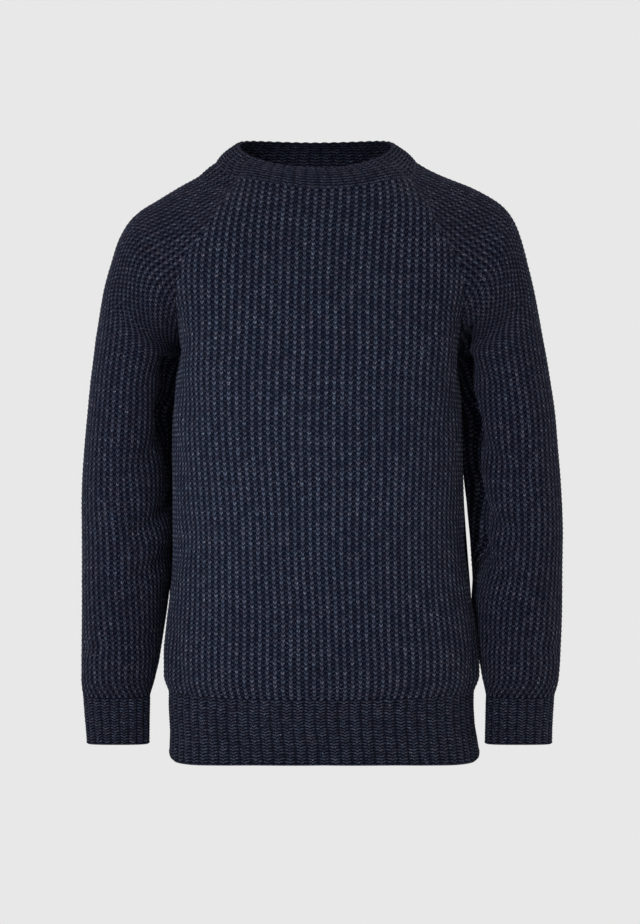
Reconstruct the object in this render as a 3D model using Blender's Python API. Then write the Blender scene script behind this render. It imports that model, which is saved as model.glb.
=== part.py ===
"""Raglan crew-neck sweater in chunky half-cardigan rib, filled out as when worn, with nobody in it.

Metres, +Z up. X points to the wearer's left and the front faces -Y. The origin is midway between the two
points where the shoulders meet the collar, which is where a wearer holds the sweater up.

Every panel is a wall of cloth between rows. A torso row runs from the middle of the front or back to the
side seam, or above the underarm to the raglan seam. A sleeve row runs from the shoulder line round to the
raglan seam, or below the underarm to the sleeve's own seam. The knitted wales are ridges in the outer
points, over a plain inside.
"""

import math

import bmesh
import bpy
import numpy as np

NAME = "raglan_sweater"

# Cloth
WALL = 0.0042  # from the crest of a wale to the plain inside
WALE_RELIEF = 0.0016  # how deep the groove between two wales is
RIB_RELIEF = 0.0021  # and between two ribs of the collar, hem and cuffs
SEAM_GAP = 0.0003
SEAM_MARGIN = 0.006  # the wales flatten over this width beside a seam
TORSO_WALES = 28  # in half a panel below the underarm
SLEEVE_WALE = 0.00745  # pitch round the sleeve
HEM_RIBS = 21  # in half a panel
CUFF_RIBS = 10  # in half a cuff
COLLAR_RIBS = 26  # in half the collar
OUTSIDE_STEP = 0.5  # wales between two columns of the outside: a crest and a groove for each wale
INSIDE_STEP = 2.0  # the plain inside has a column for every second wale
NEAREST_COLUMN = 0.35  # a column nearer the seam than this share of a step lies on the seam

# Colours
KNIT_NAVY = (0.0185, 0.0215, 0.0360)
RIB_NAVY = (0.0145, 0.0160, 0.0270)

# Heights
HEM_SEAM_Z = -0.6035
HEM_HEIGHT = 0.0705
UNDERARM_Z = -0.215

# Rows that the meshes have. Torso levels: -1 hem edge, 0 hem seam, 1 underarm, 2 neck.
# Sleeve levels: 0 neck, 1 underarm, 2 cuff seam, 3 cuff edge.
RAGLAN_ROWS = (0.0, 0.16, 0.32, 0.48, 0.61, 0.74, 0.87)
TORSO_ROWS_Z = (-0.6035, -0.597, -0.580, -0.540, -0.470, -0.380, -0.290)
SLEEVE_ROWS = (1.0, 1.11, 1.24, 1.37, 1.48, 1.58, 1.68, 1.80, 1.91, 1.965, 2.0)
HEM_ROWS = (-1.0, -0.45, -0.0043)
CUFF_ROWS = (2.0052, 2.5, 3.0)
COLLAR_ROWS = (0.0, 0.4, 0.92, 1.0)


def table(columns, *rows):
    """Names the columns of a short table."""
    return dict(zip(columns.split(), np.array(rows, float).T))


# Half-width of the body at its side seams.
SIDE = table(
    "z x",
    (-0.6740, 0.1785),
    (-0.6640, 0.1775),
    (-0.6400, 0.1755),
    (-0.6070, 0.1755),
    (-0.6000, 0.1780),
    (-0.5880, 0.1815),
    (-0.5650, 0.1815),
    (-0.5300, 0.1780),
    (-0.4900, 0.1725),
    (-0.4300, 0.1680),
    (-0.3600, 0.1670),
    (-0.3000, 0.1665),
    (-0.2500, 0.1635),
    (-0.2150, 0.1600),
)

# How square a torso section is: how far its row runs straight at the middle, as a share of the half-width,
# and at the side, as a share of the depth. An ellipse has 0.55 of each.
SQUARENESS = table(
    "z middle side",
    (-0.6740, 0.60, 0.60),
    (-0.5000, 0.64, 0.60),
    (-0.4000, 0.70, 0.63),
    (-0.3000, 0.80, 0.69),
    (-0.2150, 0.90, 0.76),
)

# The middle of the front and of the back, from the side.
FRONT_MIDDLE = table(
    "z y",
    (-0.6740, -0.1180),
    (-0.6400, -0.1175),
    (-0.6070, -0.1185),
    (-0.6000, -0.1215),
    (-0.5880, -0.1260),
    (-0.5650, -0.1270),
    (-0.5300, -0.1255),
    (-0.4300, -0.1235),
    (-0.3000, -0.1260),
    (-0.2150, -0.1245),
    (-0.1700, -0.1210),
    (-0.1300, -0.1150),
    (-0.0950, -0.1065),
    (-0.0650, -0.0965),
    (-0.0400, -0.0855),
)
BACK_MIDDLE = table(
    "z y",
    (-0.6740, 0.1150),
    (-0.6400, 0.1135),
    (-0.6070, 0.1135),
    (-0.6000, 0.1160),
    (-0.5880, 0.1190),
    (-0.5650, 0.1190),
    (-0.5300, 0.1165),
    (-0.4300, 0.1105),
    (-0.3600, 0.1100),
    (-0.2500, 0.1145),
    (-0.1700, 0.1160),
    (-0.1000, 0.1110),
    (-0.0600, 0.1020),
    (-0.0250, 0.0880),
    (0.0060, 0.0720),
)

# The raglan seams on the wearer's left, from the collar down to the underarm. The turns are the headings
# at which the body's rows reach the seam and the sleeve's rows leave it, in degrees from straight across.
# They part where the cloth folds into the armpit. The holds are how far each row keeps that heading, and
# middle is how far the body's row runs straight at the middle, as a share of its half-width. climb is how
# steeply the sleeve's rows rise along the seam.
RAGLAN_COLUMNS = "x y z body_turn sleeve_turn middle body_hold sleeve_hold climb"
FRONT_RAGLAN = table(
    RAGLAN_COLUMNS,
    (0.0955, -0.0560, -0.0245, 50, 50, 0.50, 0.028, 0.020, 0.10),
    (0.1150, -0.0845, -0.0600, 34, 34, 0.53, 0.040, 0.030, 0.35),
    (0.1310, -0.0950, -0.0890, 32, 29, 0.55, 0.046, 0.038, 0.50),
    (0.1565, -0.0910, -0.1320, 44, 10, 0.58, 0.042, 0.050, 0.60),
    (0.1600, -0.0800, -0.1600, 60, -20, 0.62, 0.042, 0.060, 0.45),
    (0.1595, -0.0430, -0.1950, 80, -55, 0.76, 0.060, 0.077, 0.15),
    (0.1600, 0.0000, -0.2150, 88, -72, 0.90, 0.094, 0.095, 0.00),
)
BACK_RAGLAN = table(
    RAGLAN_COLUMNS,
    (0.0885, 0.0525, 0.0045, 48, 48, 0.50, 0.028, 0.020, 0.10),
    (0.1110, 0.0800, -0.0340, 35, 35, 0.53, 0.040, 0.030, 0.35),
    (0.1330, 0.0925, -0.0740, 32, 29, 0.55, 0.046, 0.038, 0.50),
    (0.1570, 0.0930, -0.1190, 42, 12, 0.58, 0.042, 0.050, 0.60),
    (0.1610, 0.0810, -0.1580, 60, -20, 0.62, 0.042, 0.060, 0.45),
    (0.1600, 0.0430, -0.1950, 80, -55, 0.76, 0.058, 0.079, 0.15),
    (0.1600, 0.0000, -0.2150, 88, -72, 0.90, 0.088, 0.099, 0.00),
)

# The sleeve's outer line from the collar over the shoulder to the cuff.
OVER = table(
    "level x y z",
    (0.00, 0.1155, 0.0000, 0.0005),
    (0.13, 0.1400, 0.0000, -0.0150),
    (0.29, 0.1700, 0.0000, -0.0290),
    (0.42, 0.1940, 0.0000, -0.0430),
    (0.53, 0.2120, 0.0000, -0.0560),
    (0.62, 0.2230, 0.0000, -0.0700),
    (0.72, 0.2320, 0.0000, -0.0890),
    (0.85, 0.2405, 0.0000, -0.1160),
    (1.00, 0.2483, 0.0000, -0.1490),
    (1.10, 0.2555, -0.0005, -0.1960),
    (1.20, 0.2625, -0.0010, -0.2400),
    (1.30, 0.2675, -0.0020, -0.2850),
    (1.40, 0.2720, -0.0035, -0.3300),
    (1.50, 0.2755, -0.0055, -0.3770),
    (1.60, 0.2770, -0.0080, -0.4240),
    (1.70, 0.2770, -0.0110, -0.4710),
    (1.80, 0.2768, -0.0140, -0.5170),
    (1.90, 0.2768, -0.0175, -0.5630),
    (1.96, 0.2757, -0.0190, -0.5910),
    (2.00, 0.2715, -0.0200, -0.6095),
    (3.00, 0.2680, -0.0215, -0.6680),
)
OVER_HOLD = table(
    "level hold",
    (0.0, 0.022),
    (0.25, 0.034),
    (0.5, 0.050),
    (0.75, 0.072),
    (1.0, 0.097),
)

# The sleeve's seam line under the arm, and how far forward and back its section reaches.
UNDER = table(
    "level x y z front back",
    (1.00, 0.1600, 0.0000, -0.2150, -0.0710, 0.0745),
    (1.10, 0.1665, 0.0200, -0.2470, -0.0705, 0.0745),
    (1.20, 0.1668, 0.0300, -0.2830, -0.0695, 0.0735),
    (1.30, 0.1675, 0.0360, -0.3200, -0.0680, 0.0715),
    (1.40, 0.1675, 0.0380, -0.3580, -0.0665, 0.0690),
    (1.50, 0.1668, 0.0360, -0.3960, -0.0660, 0.0660),
    (1.60, 0.1682, 0.0310, -0.4340, -0.0660, 0.0615),
    (1.70, 0.1735, 0.0230, -0.4750, -0.0665, 0.0555),
    (1.80, 0.1800, 0.0120, -0.5180, -0.0670, 0.0480),
    (1.90, 0.1865, -0.0020, -0.5630, -0.0660, 0.0385),
    (1.96, 0.1900, -0.0120, -0.5910, -0.0620, 0.0300),
    (2.00, 0.1945, -0.0195, -0.6095, -0.0505, 0.0105),
    (3.00, 0.1955, -0.0215, -0.6680, -0.0500, 0.0070),
)
UNDERARM_FADE = table("level turn", (1.0, -72), (1.06, -82), (1.14, -90))
SIDE_FADE = table("level turn", (0.85, 90), (1.0, 88))

# The wales bunch a little at the middle of the panels near the hem, and spread at the chest.
SPREAD = table("level spread", (-1.0, -0.06), (0.0, -0.06), (0.5, 0.0), (1.0, 0.03), (2.0, 0.03))
SLEEVE_PITCH = table("level pitch", (0.0, 1.0), (1.85, 1.0), (1.96, 0.93), (2.0, 0.86))

# The top edge of the collar, from its lowest point at the front to its highest at the back.
COLLAR_TOP_FRONT = (0.0, -0.0700, -0.0150)
COLLAR_TOP_SIDE = (0.0880, 0.0040, 0.0240)
COLLAR_TOP_BACK = (0.0, 0.0600, 0.0340)
COLLAR_SIDE_RUN = np.array([0.0, -0.0410, -0.0165])  # the top edge's way past its side point, to the front
COLLAR_BACK_RUN = -0.72 * COLLAR_SIDE_RUN  # and to the back
COLLAR_FRONT_HOLD = np.array([0.054, 0.0, 0.0])  # how far it runs straight across at the front
COLLAR_BACK_HOLD = np.array([0.052, 0.0, 0.0])  # and at the back
COLLAR_BULGE = 0.0022
COLLAR_MIDDLE = np.array([0.0, -0.005])

# The pose leans a little: how far the sweater is shifted to the side at each height.
SWAY = table(
    "z x",
    (-0.700, 0.0005),
    (-0.400, 0.0000),
    (-0.250, -0.0015),
    (-0.150, 0.0000),
    (-0.095, 0.0020),
    (-0.055, 0.0050),
    (-0.035, 0.0055),
    (-0.020, 0.0020),
    (-0.005, -0.0040),
    (0.040, -0.0060),
)

# Soft folds of the sleeve, as troughs from one place to another: level along the sleeve, and how far round
# from the shoulder line (-1 the seam by way of the front, 1 by way of the back).
FOLD_COLUMNS = "level0 round0 level1 round1 width depth"
FOLDS = table(
    FOLD_COLUMNS,
    (1.28, -0.95, 1.46, -0.42, 0.014, 0.0045),
    (1.47, -1.00, 1.60, -0.50, 0.013, 0.0050),
    (1.62, -0.98, 1.70, -0.55, 0.012, 0.0035),
    (1.10, -0.92, 1.22, -0.55, 0.016, 0.0040),
    (1.12, 0.92, 1.25, 0.50, 0.016, 0.0045),
    (1.36, 0.95, 1.52, 0.45, 0.015, 0.0045),
    (1.56, 1.00, 1.66, 0.50, 0.013, 0.0040),
    (1.86, -0.75, 1.88, -0.15, 0.009, 0.0030),
    (1.87, 0.80, 1.89, 0.20, 0.009, 0.0030),
)
SLEEVE_LENGTH_PER_LEVEL = 0.43
SLEEVE_HALF_ROUND = 0.18
FOLD_FADE = 0.08  # folds die out over this share of the row beside the sleeve's own seam

NUDGE = 0.004  # step in level and share over which a surface's slopes are read
AT_EDGE = 0.999  # shares past this are a row's end
CREASE_ANGLE = math.radians(50)


def smooth(columns, key, name, at):
    """Reads a column of a table between its rows, on a smooth curve that never overshoots them."""
    x, y = columns[key], columns[name]
    step = np.diff(x)
    slope = np.diff(y) / step
    tangent = np.concatenate([slope[:1], np.zeros(len(x) - 2), slope[-1:]])
    rising = slope[:-1] * slope[1:] > 0
    mean = 2 * slope[:-1][rising] * slope[1:][rising] / (slope[:-1] + slope[1:])[rising]
    tangent[1:-1][rising] = mean
    i = np.clip(np.searchsorted(x, at, side="right") - 1, 0, len(step) - 1)
    t = np.clip((at - x[i]) / step[i], 0, 1)
    start = y[i] * (1 + 2 * t) * (1 - t) ** 2 + y[i + 1] * t * t * (3 - 2 * t)
    return start + step[i] * (tangent[i] * t * (1 - t) ** 2 - tangent[i + 1] * t * t * (1 - t))


def with_shares(seam):
    """Adds to a seam's table how far down the seam each row lies, from 0 to 1."""
    points = np.stack([seam[k] for k in "xyz"], axis=1)
    run = np.cumsum(np.linalg.norm(np.diff(points, axis=0), axis=1))
    return dict(seam, share=np.concatenate([[0], run]) / run[-1])


SEAMS = {-1: with_shares(FRONT_RAGLAN), 1: with_shares(BACK_RAGLAN)}
MIDDLES = {-1: FRONT_MIDDLE, 1: BACK_MIDDLE}
NECK_DROPS = {-1: 0.0155, 1: -0.0015}  # how far the middle of the neckline lies below its raglan ends


def seam_point(facing, share):
    """A point of the front (-1) or back (1) raglan seam."""
    return np.array([smooth(SEAMS[facing], "share", k, share) for k in "xyz"])


def torso_half_row(facing, level):
    """The four control points of half a row, from the middle of a panel to its left edge."""
    if level <= 1:
        drop = UNDERARM_Z - HEM_SEAM_Z if level > 0 else HEM_HEIGHT
        z = HEM_SEAM_Z + level * drop
        edge = np.array([smooth(SIDE, "z", "x", z), 0.0, z])
        turn = smooth(SIDE_FADE, "level", "turn", level)
        hold = smooth(SQUARENESS, "z", "side", z) * abs(smooth(MIDDLES[facing], "z", "y", z))
        straight = smooth(SQUARENESS, "z", "middle", z)
    else:
        share = 2 - level
        edge = seam_point(facing, share)
        turn, hold, straight = (
            smooth(SEAMS[facing], "share", k, share) for k in ("body_turn", "body_hold", "middle")
        )
    z = edge[2] - NECK_DROPS[facing] * max(0.0, level - 1) ** 2
    middle = np.array([0.0, smooth(MIDDLES[facing], "z", "y", z), z])
    edge = edge + np.array([-SEAM_GAP / 2, facing * SEAM_GAP / 2, 0.0])
    turn = math.radians(turn)
    heading = np.array([math.cos(turn), -facing * math.sin(turn), 0.0])
    out = np.array([straight * edge[0], 0.0, 0.0])
    return middle, middle + out, edge - hold * heading, edge


def sleeve_half_row(facing, level):
    """The four control points of half a row, from the shoulder line to the sleeve's edge."""
    over = np.array([smooth(OVER, "level", k, level) for k in "xyz"])
    if level < 1:
        seam = SEAMS[facing]
        edge = seam_point(facing, level) + np.array([SEAM_GAP / 2, 0.0, 0.0])
        up = seam_point(facing, max(0.0, level - 0.02)) - seam_point(facing, max(0.02, level))
        turn = math.radians(smooth(seam, "share", "sleeve_turn", level))
        climb = smooth(seam, "share", "climb", level)
        hold = smooth(seam, "share", "sleeve_hold", level)
        over_hold = smooth(OVER_HOLD, "level", "hold", level)
        heading = np.array([math.cos(turn), -facing * math.sin(turn), 0.0])
        heading = heading + climb * up / np.linalg.norm(up)
    else:
        edge = np.array([smooth(UNDER, "level", k, level) for k in "xyz"])
        edge = edge + np.array([SEAM_GAP / 2, 0.0, 0.0])
        reach = smooth(UNDER, "level", "front" if facing < 0 else "back", level)
        both = (8 * abs(reach) - facing * 4 * (over[1] + edge[1])) / 3
        hold = (both - facing * (edge[1] - over[1])) / 2
        over_hold = both - hold
        turn = math.radians(smooth(UNDERARM_FADE, "level", "turn", level))
        heading = np.array([math.cos(turn), -facing * math.sin(turn), 0.0])
    heading = heading / np.linalg.norm(heading)
    return over, over + np.array([0.0, facing * over_hold, 0.0]), edge + hold * heading, edge


def curve_points(controls, shares):
    """Points at shares of a cubic curve's length, and that length."""
    t = np.linspace(0, 1, 129)[:, None]
    a, b, c, d = controls
    line = (1 - t) ** 3 * a + 3 * (1 - t) ** 2 * t * b + 3 * (1 - t) * t**2 * c + t**3 * d
    run = np.concatenate([[0], np.cumsum(np.linalg.norm(np.diff(line, axis=0), axis=1))])
    at = np.clip(shares, 0, 1) * run[-1]
    return np.stack([np.interp(at, run, line[:, k]) for k in range(3)], axis=1), run[-1]


class Torso:
    """The front or back panel and its hem rib, as one surface."""

    def __init__(self, facing):
        self.facing = facing
        self.outward = -facing

    def row(self, level, across):
        """Points of a row: -1 is its right edge, 0 the middle and 1 the left edge."""
        points, _ = curve_points(torso_half_row(self.facing, level), np.abs(across))
        points[:, 0] *= np.where(across < 0, -1, 1)
        return points

    def half_counts(self, level):
        """How many wales lie between the middle and each edge."""
        _, length = curve_points(torso_half_row(self.facing, max(level, 1)), np.zeros(1))
        _, widest = curve_points(torso_half_row(self.facing, 1), np.zeros(1))
        return (TORSO_WALES * length / widest,) * 2

    def half_lengths(self, level):
        """The length of each half of a row."""
        return (curve_points(torso_half_row(self.facing, level), np.zeros(1))[1],) * 2

    def share(self, level, x):
        """Where a wale lies across the row, from its number as a share of those in the half."""
        spread = smooth(SPREAD, "level", "spread", level)
        return x * (1 + spread * (1 - np.abs(x)))

    def tidy_normals(self, level, across, normals):
        """At the side seam both panels' walls end in one plane."""
        if level <= 1:
            normals[np.abs(across) > AT_EDGE, 1] = 0
        return normals

    def folds(self, level, across):
        """The panels have none."""
        return np.zeros(len(across))


class Sleeve:
    """A sleeve and its cuff, as one surface, on the wearer's left."""

    outward = -1

    def row(self, level, around):
        """Points of a row: -1 is its front edge, 0 the shoulder line and 1 the back edge."""
        front, _ = curve_points(sleeve_half_row(-1, level), np.abs(around))
        back, _ = curve_points(sleeve_half_row(1, level), np.abs(around))
        return np.where(around[:, None] < 0, front, back)

    def half_lengths(self, level):
        """The lengths of the front and back halves of a row."""
        return tuple(curve_points(sleeve_half_row(f, level), np.zeros(1))[1] for f in (-1, 1))

    def half_counts(self, level):
        """How many wales lie between the shoulder line and each edge."""
        pitch = SLEEVE_WALE * smooth(SLEEVE_PITCH, "level", "pitch", level)
        return tuple(length / pitch for length in self.half_lengths(level))

    def share(self, level, x):
        """The wales are even."""
        return x

    def tidy_normals(self, level, around, normals):
        """Below the underarm the row closes on itself, so its two ends share a normal."""
        if level >= 1:
            ends = np.abs(around) > AT_EDGE
            normals[ends] = normals[ends].mean(axis=0)
        return normals

    def folds(self, level, around):
        """How far the soft folds sink the cloth."""
        here = np.stack([np.full(len(around), level) * SLEEVE_LENGTH_PER_LEVEL, around * SLEEVE_HALF_ROUND])
        sunk = np.zeros(len(around))
        for i in range(len(FOLDS["depth"])):
            a, b = (
                np.array([[FOLDS["level" + end][i] * SLEEVE_LENGTH_PER_LEVEL],
                          [FOLDS["round" + end][i] * SLEEVE_HALF_ROUND]])
                for end in "01"
            )
            t = ((here - a) * (b - a)).sum(0) / ((b - a) ** 2).sum()
            off = np.linalg.norm(here - a - np.clip(t, 0, 1) * (b - a), axis=0)
            sunk += FOLDS["depth"][i] * np.exp(-((off / FOLDS["width"][i]) ** 2))
        return sunk * np.clip((1 - np.abs(around)) / FOLD_FADE, 0, 1)


class Collar:
    """The neck band: its lower edge follows the top rows of the four panels it is sewn to."""

    outward = 1

    def __init__(self):
        whole = np.linspace(0, 1, 65)
        parts = [
            curve_points(torso_half_row(-1, 2.0), whole)[0],
            curve_points(sleeve_half_row(-1, 0.0), whole)[0][::-1],
            curve_points(sleeve_half_row(1, 0.0), whole)[0],
            curve_points(torso_half_row(1, 2.0), whole)[0][::-1],
        ]
        self.low = np.concatenate(parts)
        front, side, back = (np.array(p) for p in (COLLAR_TOP_FRONT, COLLAR_TOP_SIDE, COLLAR_TOP_BACK))
        to_side = (front, front + COLLAR_FRONT_HOLD, side + COLLAR_SIDE_RUN, side)
        to_back = (side, side + COLLAR_BACK_RUN, back + COLLAR_BACK_HOLD, back)
        self.high = np.concatenate([curve_points(to_side, whole)[0], curve_points(to_back, whole)[0]])

    @staticmethod
    def even(line, shares):
        """Points at shares of a line's length."""
        run = np.concatenate([[0], np.cumsum(np.linalg.norm(np.diff(line, axis=0), axis=1))])
        return np.stack([np.interp(shares * run[-1], run, line[:, k]) for k in range(3)], axis=1)

    def row(self, level, around):
        """Points of a ring: 0 is the middle of the front and -1 and 1 the middle of the back."""
        low = self.even(self.low, np.clip(np.abs(around), 0, 1)) + np.array([0, 0, SEAM_GAP])
        high = self.even(self.high, np.clip(np.abs(around), 0, 1))
        points = low + level * (high - low)
        bulge = COLLAR_BULGE * 4 * level * (1 - level)
        out = points[:, :2] - COLLAR_MIDDLE
        points[:, :2] += bulge * out / np.linalg.norm(out, axis=1)[:, None]
        points[:, 2] += bulge
        points[:, 0] *= np.where(around < 0, -1, 1)
        return points

    def half_lengths(self, level):
        """The length of each half of a ring, which is taken at the lower edge."""
        return (np.linalg.norm(np.diff(self.low, axis=0), axis=1).sum(),) * 2

    def share(self, level, x):
        """The ribs are even."""
        return x

    def tidy_normals(self, level, around, normals):
        """The ring closes on itself at the back, so its two ends share a normal."""
        ends = np.abs(around) > AT_EDGE
        normals[ends] = normals[ends].mean(axis=0)
        return normals

    def folds(self, level, around):
        """The collar has none."""
        return np.zeros(len(around))


def normals_of(surface, level, lowest, highest, shares):
    """Outward unit normals of a row, from its neighbours along and across."""
    a, b = max(level - NUDGE, lowest), min(level + NUDGE, highest)
    along = surface.row(b, shares) - surface.row(a, shares)
    left, right = np.minimum(shares + NUDGE, 1), np.maximum(shares - NUDGE, -1)
    across = surface.row(level, left) - surface.row(level, right)
    normals = surface.outward * np.cross(across, along)
    normals = normals / np.linalg.norm(normals, axis=1)[:, None]
    return surface.tidy_normals(level, shares, normals)


def posed(points, mirrored):
    """Mirrors a row for the right side where asked, and leans it to the side as the pose does."""
    points = points * (-1 if mirrored else 1, 1, 1)
    points[:, 0] += smooth(SWAY, "z", "x", points[:, 2])
    return points


def wale_columns(surface, level, counts, step, most):
    """The columns of a row: each wale's number and where it lies across. Past the seam they stop at it."""
    numbers = np.arange(-most, most + step / 2, step)
    limits = np.where(numbers < 0, counts[0], counts[1])
    shares = np.clip(numbers / limits, -1, 1)
    near = limits - np.abs(numbers) < NEAREST_COLUMN * step
    shares[near] = np.sign(numbers[near])
    lengths = np.where(numbers < 0, *surface.half_lengths(level))
    from_seam = (1 - np.abs(shares)) * lengths
    return numbers, surface.share(level, shares), from_seam


def wall_rows(surface, levels, counts_at, relief, limits, ring=False):
    """The outer and inner points of each row of a wall, from below to above."""
    most = math.ceil(max(max(counts_at(level)) for level in levels))
    most += most % int(INSIDE_STEP)
    outer, inner = [], []
    for level in levels:
        counts = counts_at(level)
        numbers, shares, from_seam = wale_columns(surface, level, counts, OUTSIDE_STEP, most)
        normals = normals_of(surface, level, *limits, shares)
        crest = 0.5 - 0.5 * np.cos(2 * math.pi * numbers)
        beside = 1.0 if ring else np.clip(from_seam / SEAM_MARGIN, 0, 1)
        sunk = relief * (1 - crest) * beside + surface.folds(level, shares)
        outer.append(surface.row(level, shares) - sunk[:, None] * normals)
        _, shares, _ = wale_columns(surface, level, counts, INSIDE_STEP, most)
        normals = normals_of(surface, level, *limits, shares)
        sunk = WALL + surface.folds(level, shares)
        inner.append(surface.row(level, shares) - sunk[:, None] * normals)
    return outer, inner


def build_wall(name, outer, inner, colour, mirrored=False):
    """Makes one closed wall of cloth from its rows of outer and inner points.

    Points that coincide, as where wales end at a seam, become one corner, and faces that lose a corner so
    are left out.
    """
    bm = bmesh.new()
    known = {}

    def corner(point):
        key = tuple(round(float(c) * 1e6) for c in point)
        if key not in known:
            known[key] = bm.verts.new(point)
        return known[key]

    def face(*corners):
        if len(set(corners)) == 3 and bm.faces.get(corners) is None:
            bm.faces.new(corners)

    def skin(low, high):
        for a, b, c, d in zip(low, low[1:], high[1:], high):
            face(a, b, c)
            face(a, c, d)

    def edge_strip(row, other):
        """Closes the wall between an outer and an inner row, whose columns differ in number."""
        i = j = 0
        while i < len(row) - 1 or j < len(other) - 1:
            if j == len(other) - 1 or (i + 1) / len(row) <= (j + 1) / len(other) and i < len(row) - 1:
                face(row[i], row[i + 1], other[j])
                i += 1
            else:
                face(row[i], other[j + 1], other[j])
                j += 1

    outside, inside = ([[corner(p) for p in posed(row, mirrored)] for row in rows] for rows in (outer, inner))
    for low, high in zip(outside, outside[1:]):
        skin(low, high)
    for low, high in zip(inside, inside[1:]):
        skin(low[::-1], high[::-1])
    edge_strip(outside[0], inside[0])
    edge_strip(outside[-1], inside[-1])
    for k in range(len(outside) - 1):
        ends = outside[k][0], outside[k][-1], outside[k + 1][0], outside[k + 1][-1]
        if ends[0] is ends[1] and ends[2] is ends[3]:
            continue
        for side in (0, -1):
            skin([outside[k][side], inside[k][side]], [outside[k + 1][side], inside[k + 1][side]])
    bmesh.ops.recalc_face_normals(bm, faces=bm.faces)
    if bm.calc_volume(signed=True) < 0:
        bmesh.ops.reverse_faces(bm, faces=bm.faces)
    mesh = bpy.data.meshes.new(name)
    bm.to_mesh(mesh)
    bm.free()
    mesh.shade_smooth()
    mesh.set_sharp_from_angle(angle=CREASE_ANGLE)
    mesh.materials.append(wool(name, colour))
    piece = bpy.data.objects.new(name, mesh)
    bpy.data.collections[NAME].objects.link(piece)
    return piece


def wool(name, colour):
    """The knitted navy wool of one piece."""
    material = bpy.data.materials.new(name)
    material.use_nodes = True
    shader = material.node_tree.nodes["Principled BSDF"]
    shader.inputs["Base Color"].default_value = (*colour, 1.0)
    shader.inputs["Roughness"].default_value = 0.9
    shader.inputs["Metallic"].default_value = 0.0
    return material


def main():
    """Builds the nine knitted pieces."""
    for old in list(bpy.data.objects):
        bpy.data.objects.remove(old, do_unlink=True)
    bpy.context.scene.collection.children.link(bpy.data.collections.new(NAME))
    raglan_levels = [2 - share for share in reversed(RAGLAN_ROWS)]
    torso_levels = [(z - HEM_SEAM_Z) / (UNDERARM_Z - HEM_SEAM_Z) for z in TORSO_ROWS_Z]
    for facing, panel, hem in ((-1, "front", "hem_rib_front"), (1, "back", "hem_rib_back")):
        torso = Torso(facing)
        rows = wall_rows(torso, torso_levels + [1.0] + raglan_levels, torso.half_counts, WALE_RELIEF, (0, 2))
        build_wall(panel, *rows, KNIT_NAVY)
        rows = wall_rows(torso, HEM_ROWS, lambda level: (HEM_RIBS, HEM_RIBS), RIB_RELIEF, (-1, 0))
        build_wall(hem, *rows, RIB_NAVY)
    sleeve = Sleeve()
    sleeve_levels = list(RAGLAN_ROWS) + list(SLEEVE_ROWS)
    rows = wall_rows(sleeve, sleeve_levels, sleeve.half_counts, WALE_RELIEF, (0, 2))
    cuff = wall_rows(sleeve, CUFF_ROWS, lambda level: (CUFF_RIBS, CUFF_RIBS), RIB_RELIEF, (2, 3), ring=True)
    for side, mirrored in (("left", False), ("right", True)):
        build_wall(f"sleeve_{side}", *rows, KNIT_NAVY, mirrored)
        build_wall(f"cuff_{side}", *cuff, RIB_NAVY, mirrored)
    collar = Collar()
    ribs = (COLLAR_RIBS, COLLAR_RIBS)
    rows = wall_rows(collar, COLLAR_ROWS, lambda level: ribs, RIB_RELIEF, (0, 1), ring=True)
    build_wall("collar", *rows, RIB_NAVY)


main()
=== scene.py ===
"""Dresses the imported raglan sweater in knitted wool, and stands it in a pale studio.

Metres, +Z up. X points to the wearer's left and the front faces -Y. The sweater is filled out as when worn,
with nobody in it. Each of its nine knitted pieces becomes a closed shell of stitches on the form of its
solid: half-cardigan rib on the body and sleeves, and firm rib on the collar, hem and cuffs.

A place on a shell is a wale, counted across from the middle, and a course, counted up from the end at which
the knitting starts. The stitch formulas work both on arrays, for the meshes, and on shader sockets, for the
wool.
"""

import logging
import math
from abc import ABC, abstractmethod
from collections.abc import Callable
from dataclasses import dataclass
from enum import Enum
from functools import cached_property

import bmesh
import bpy
import numpy as np
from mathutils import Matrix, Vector


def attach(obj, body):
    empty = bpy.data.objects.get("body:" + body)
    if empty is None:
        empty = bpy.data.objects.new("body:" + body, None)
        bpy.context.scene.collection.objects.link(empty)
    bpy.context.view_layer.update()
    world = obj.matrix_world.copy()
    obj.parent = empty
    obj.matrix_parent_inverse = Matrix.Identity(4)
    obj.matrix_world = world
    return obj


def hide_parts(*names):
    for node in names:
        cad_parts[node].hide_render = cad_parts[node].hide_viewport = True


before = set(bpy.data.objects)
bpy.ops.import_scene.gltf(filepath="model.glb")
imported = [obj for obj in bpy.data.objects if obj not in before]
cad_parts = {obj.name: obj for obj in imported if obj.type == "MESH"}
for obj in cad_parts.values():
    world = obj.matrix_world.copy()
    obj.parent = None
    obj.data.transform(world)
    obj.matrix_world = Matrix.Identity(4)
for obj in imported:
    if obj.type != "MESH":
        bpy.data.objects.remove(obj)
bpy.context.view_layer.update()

log = logging.getLogger("sweater")

Point = tuple[float, float, float]

# How finely a curve and a piece's levels are laid out.
CURVE_POINTS = 129
LADDER_POINTS = 241
# Which of those levels count for a piece's widest row, and which for its area, with that many points each.
COARSE_STEP = 8
AREA_STEP = 4
AREA_POINTS = 65
# A sheet is at least this many times as long as its area over its width.
AREA_ROOM = 1.02
# Points that lie nearer to each other than this are one.
WELD = 1e-6


class Facing(Enum):
    """Which half of the sweater a panel or a row's half belongs to, with the sign of its Y."""

    FRONT = -1
    BACK = 1


class Edge(Enum):
    """How a knitted edge ends: rounded off, sewn to a neighbour, or closed on the piece's own other side."""

    FREE = "free"
    SEWN = "sewn"
    JOINED = "joined"


SEWN_ALL_ROUND = (Edge.SEWN, Edge.SEWN, Edge.SEWN)


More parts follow.
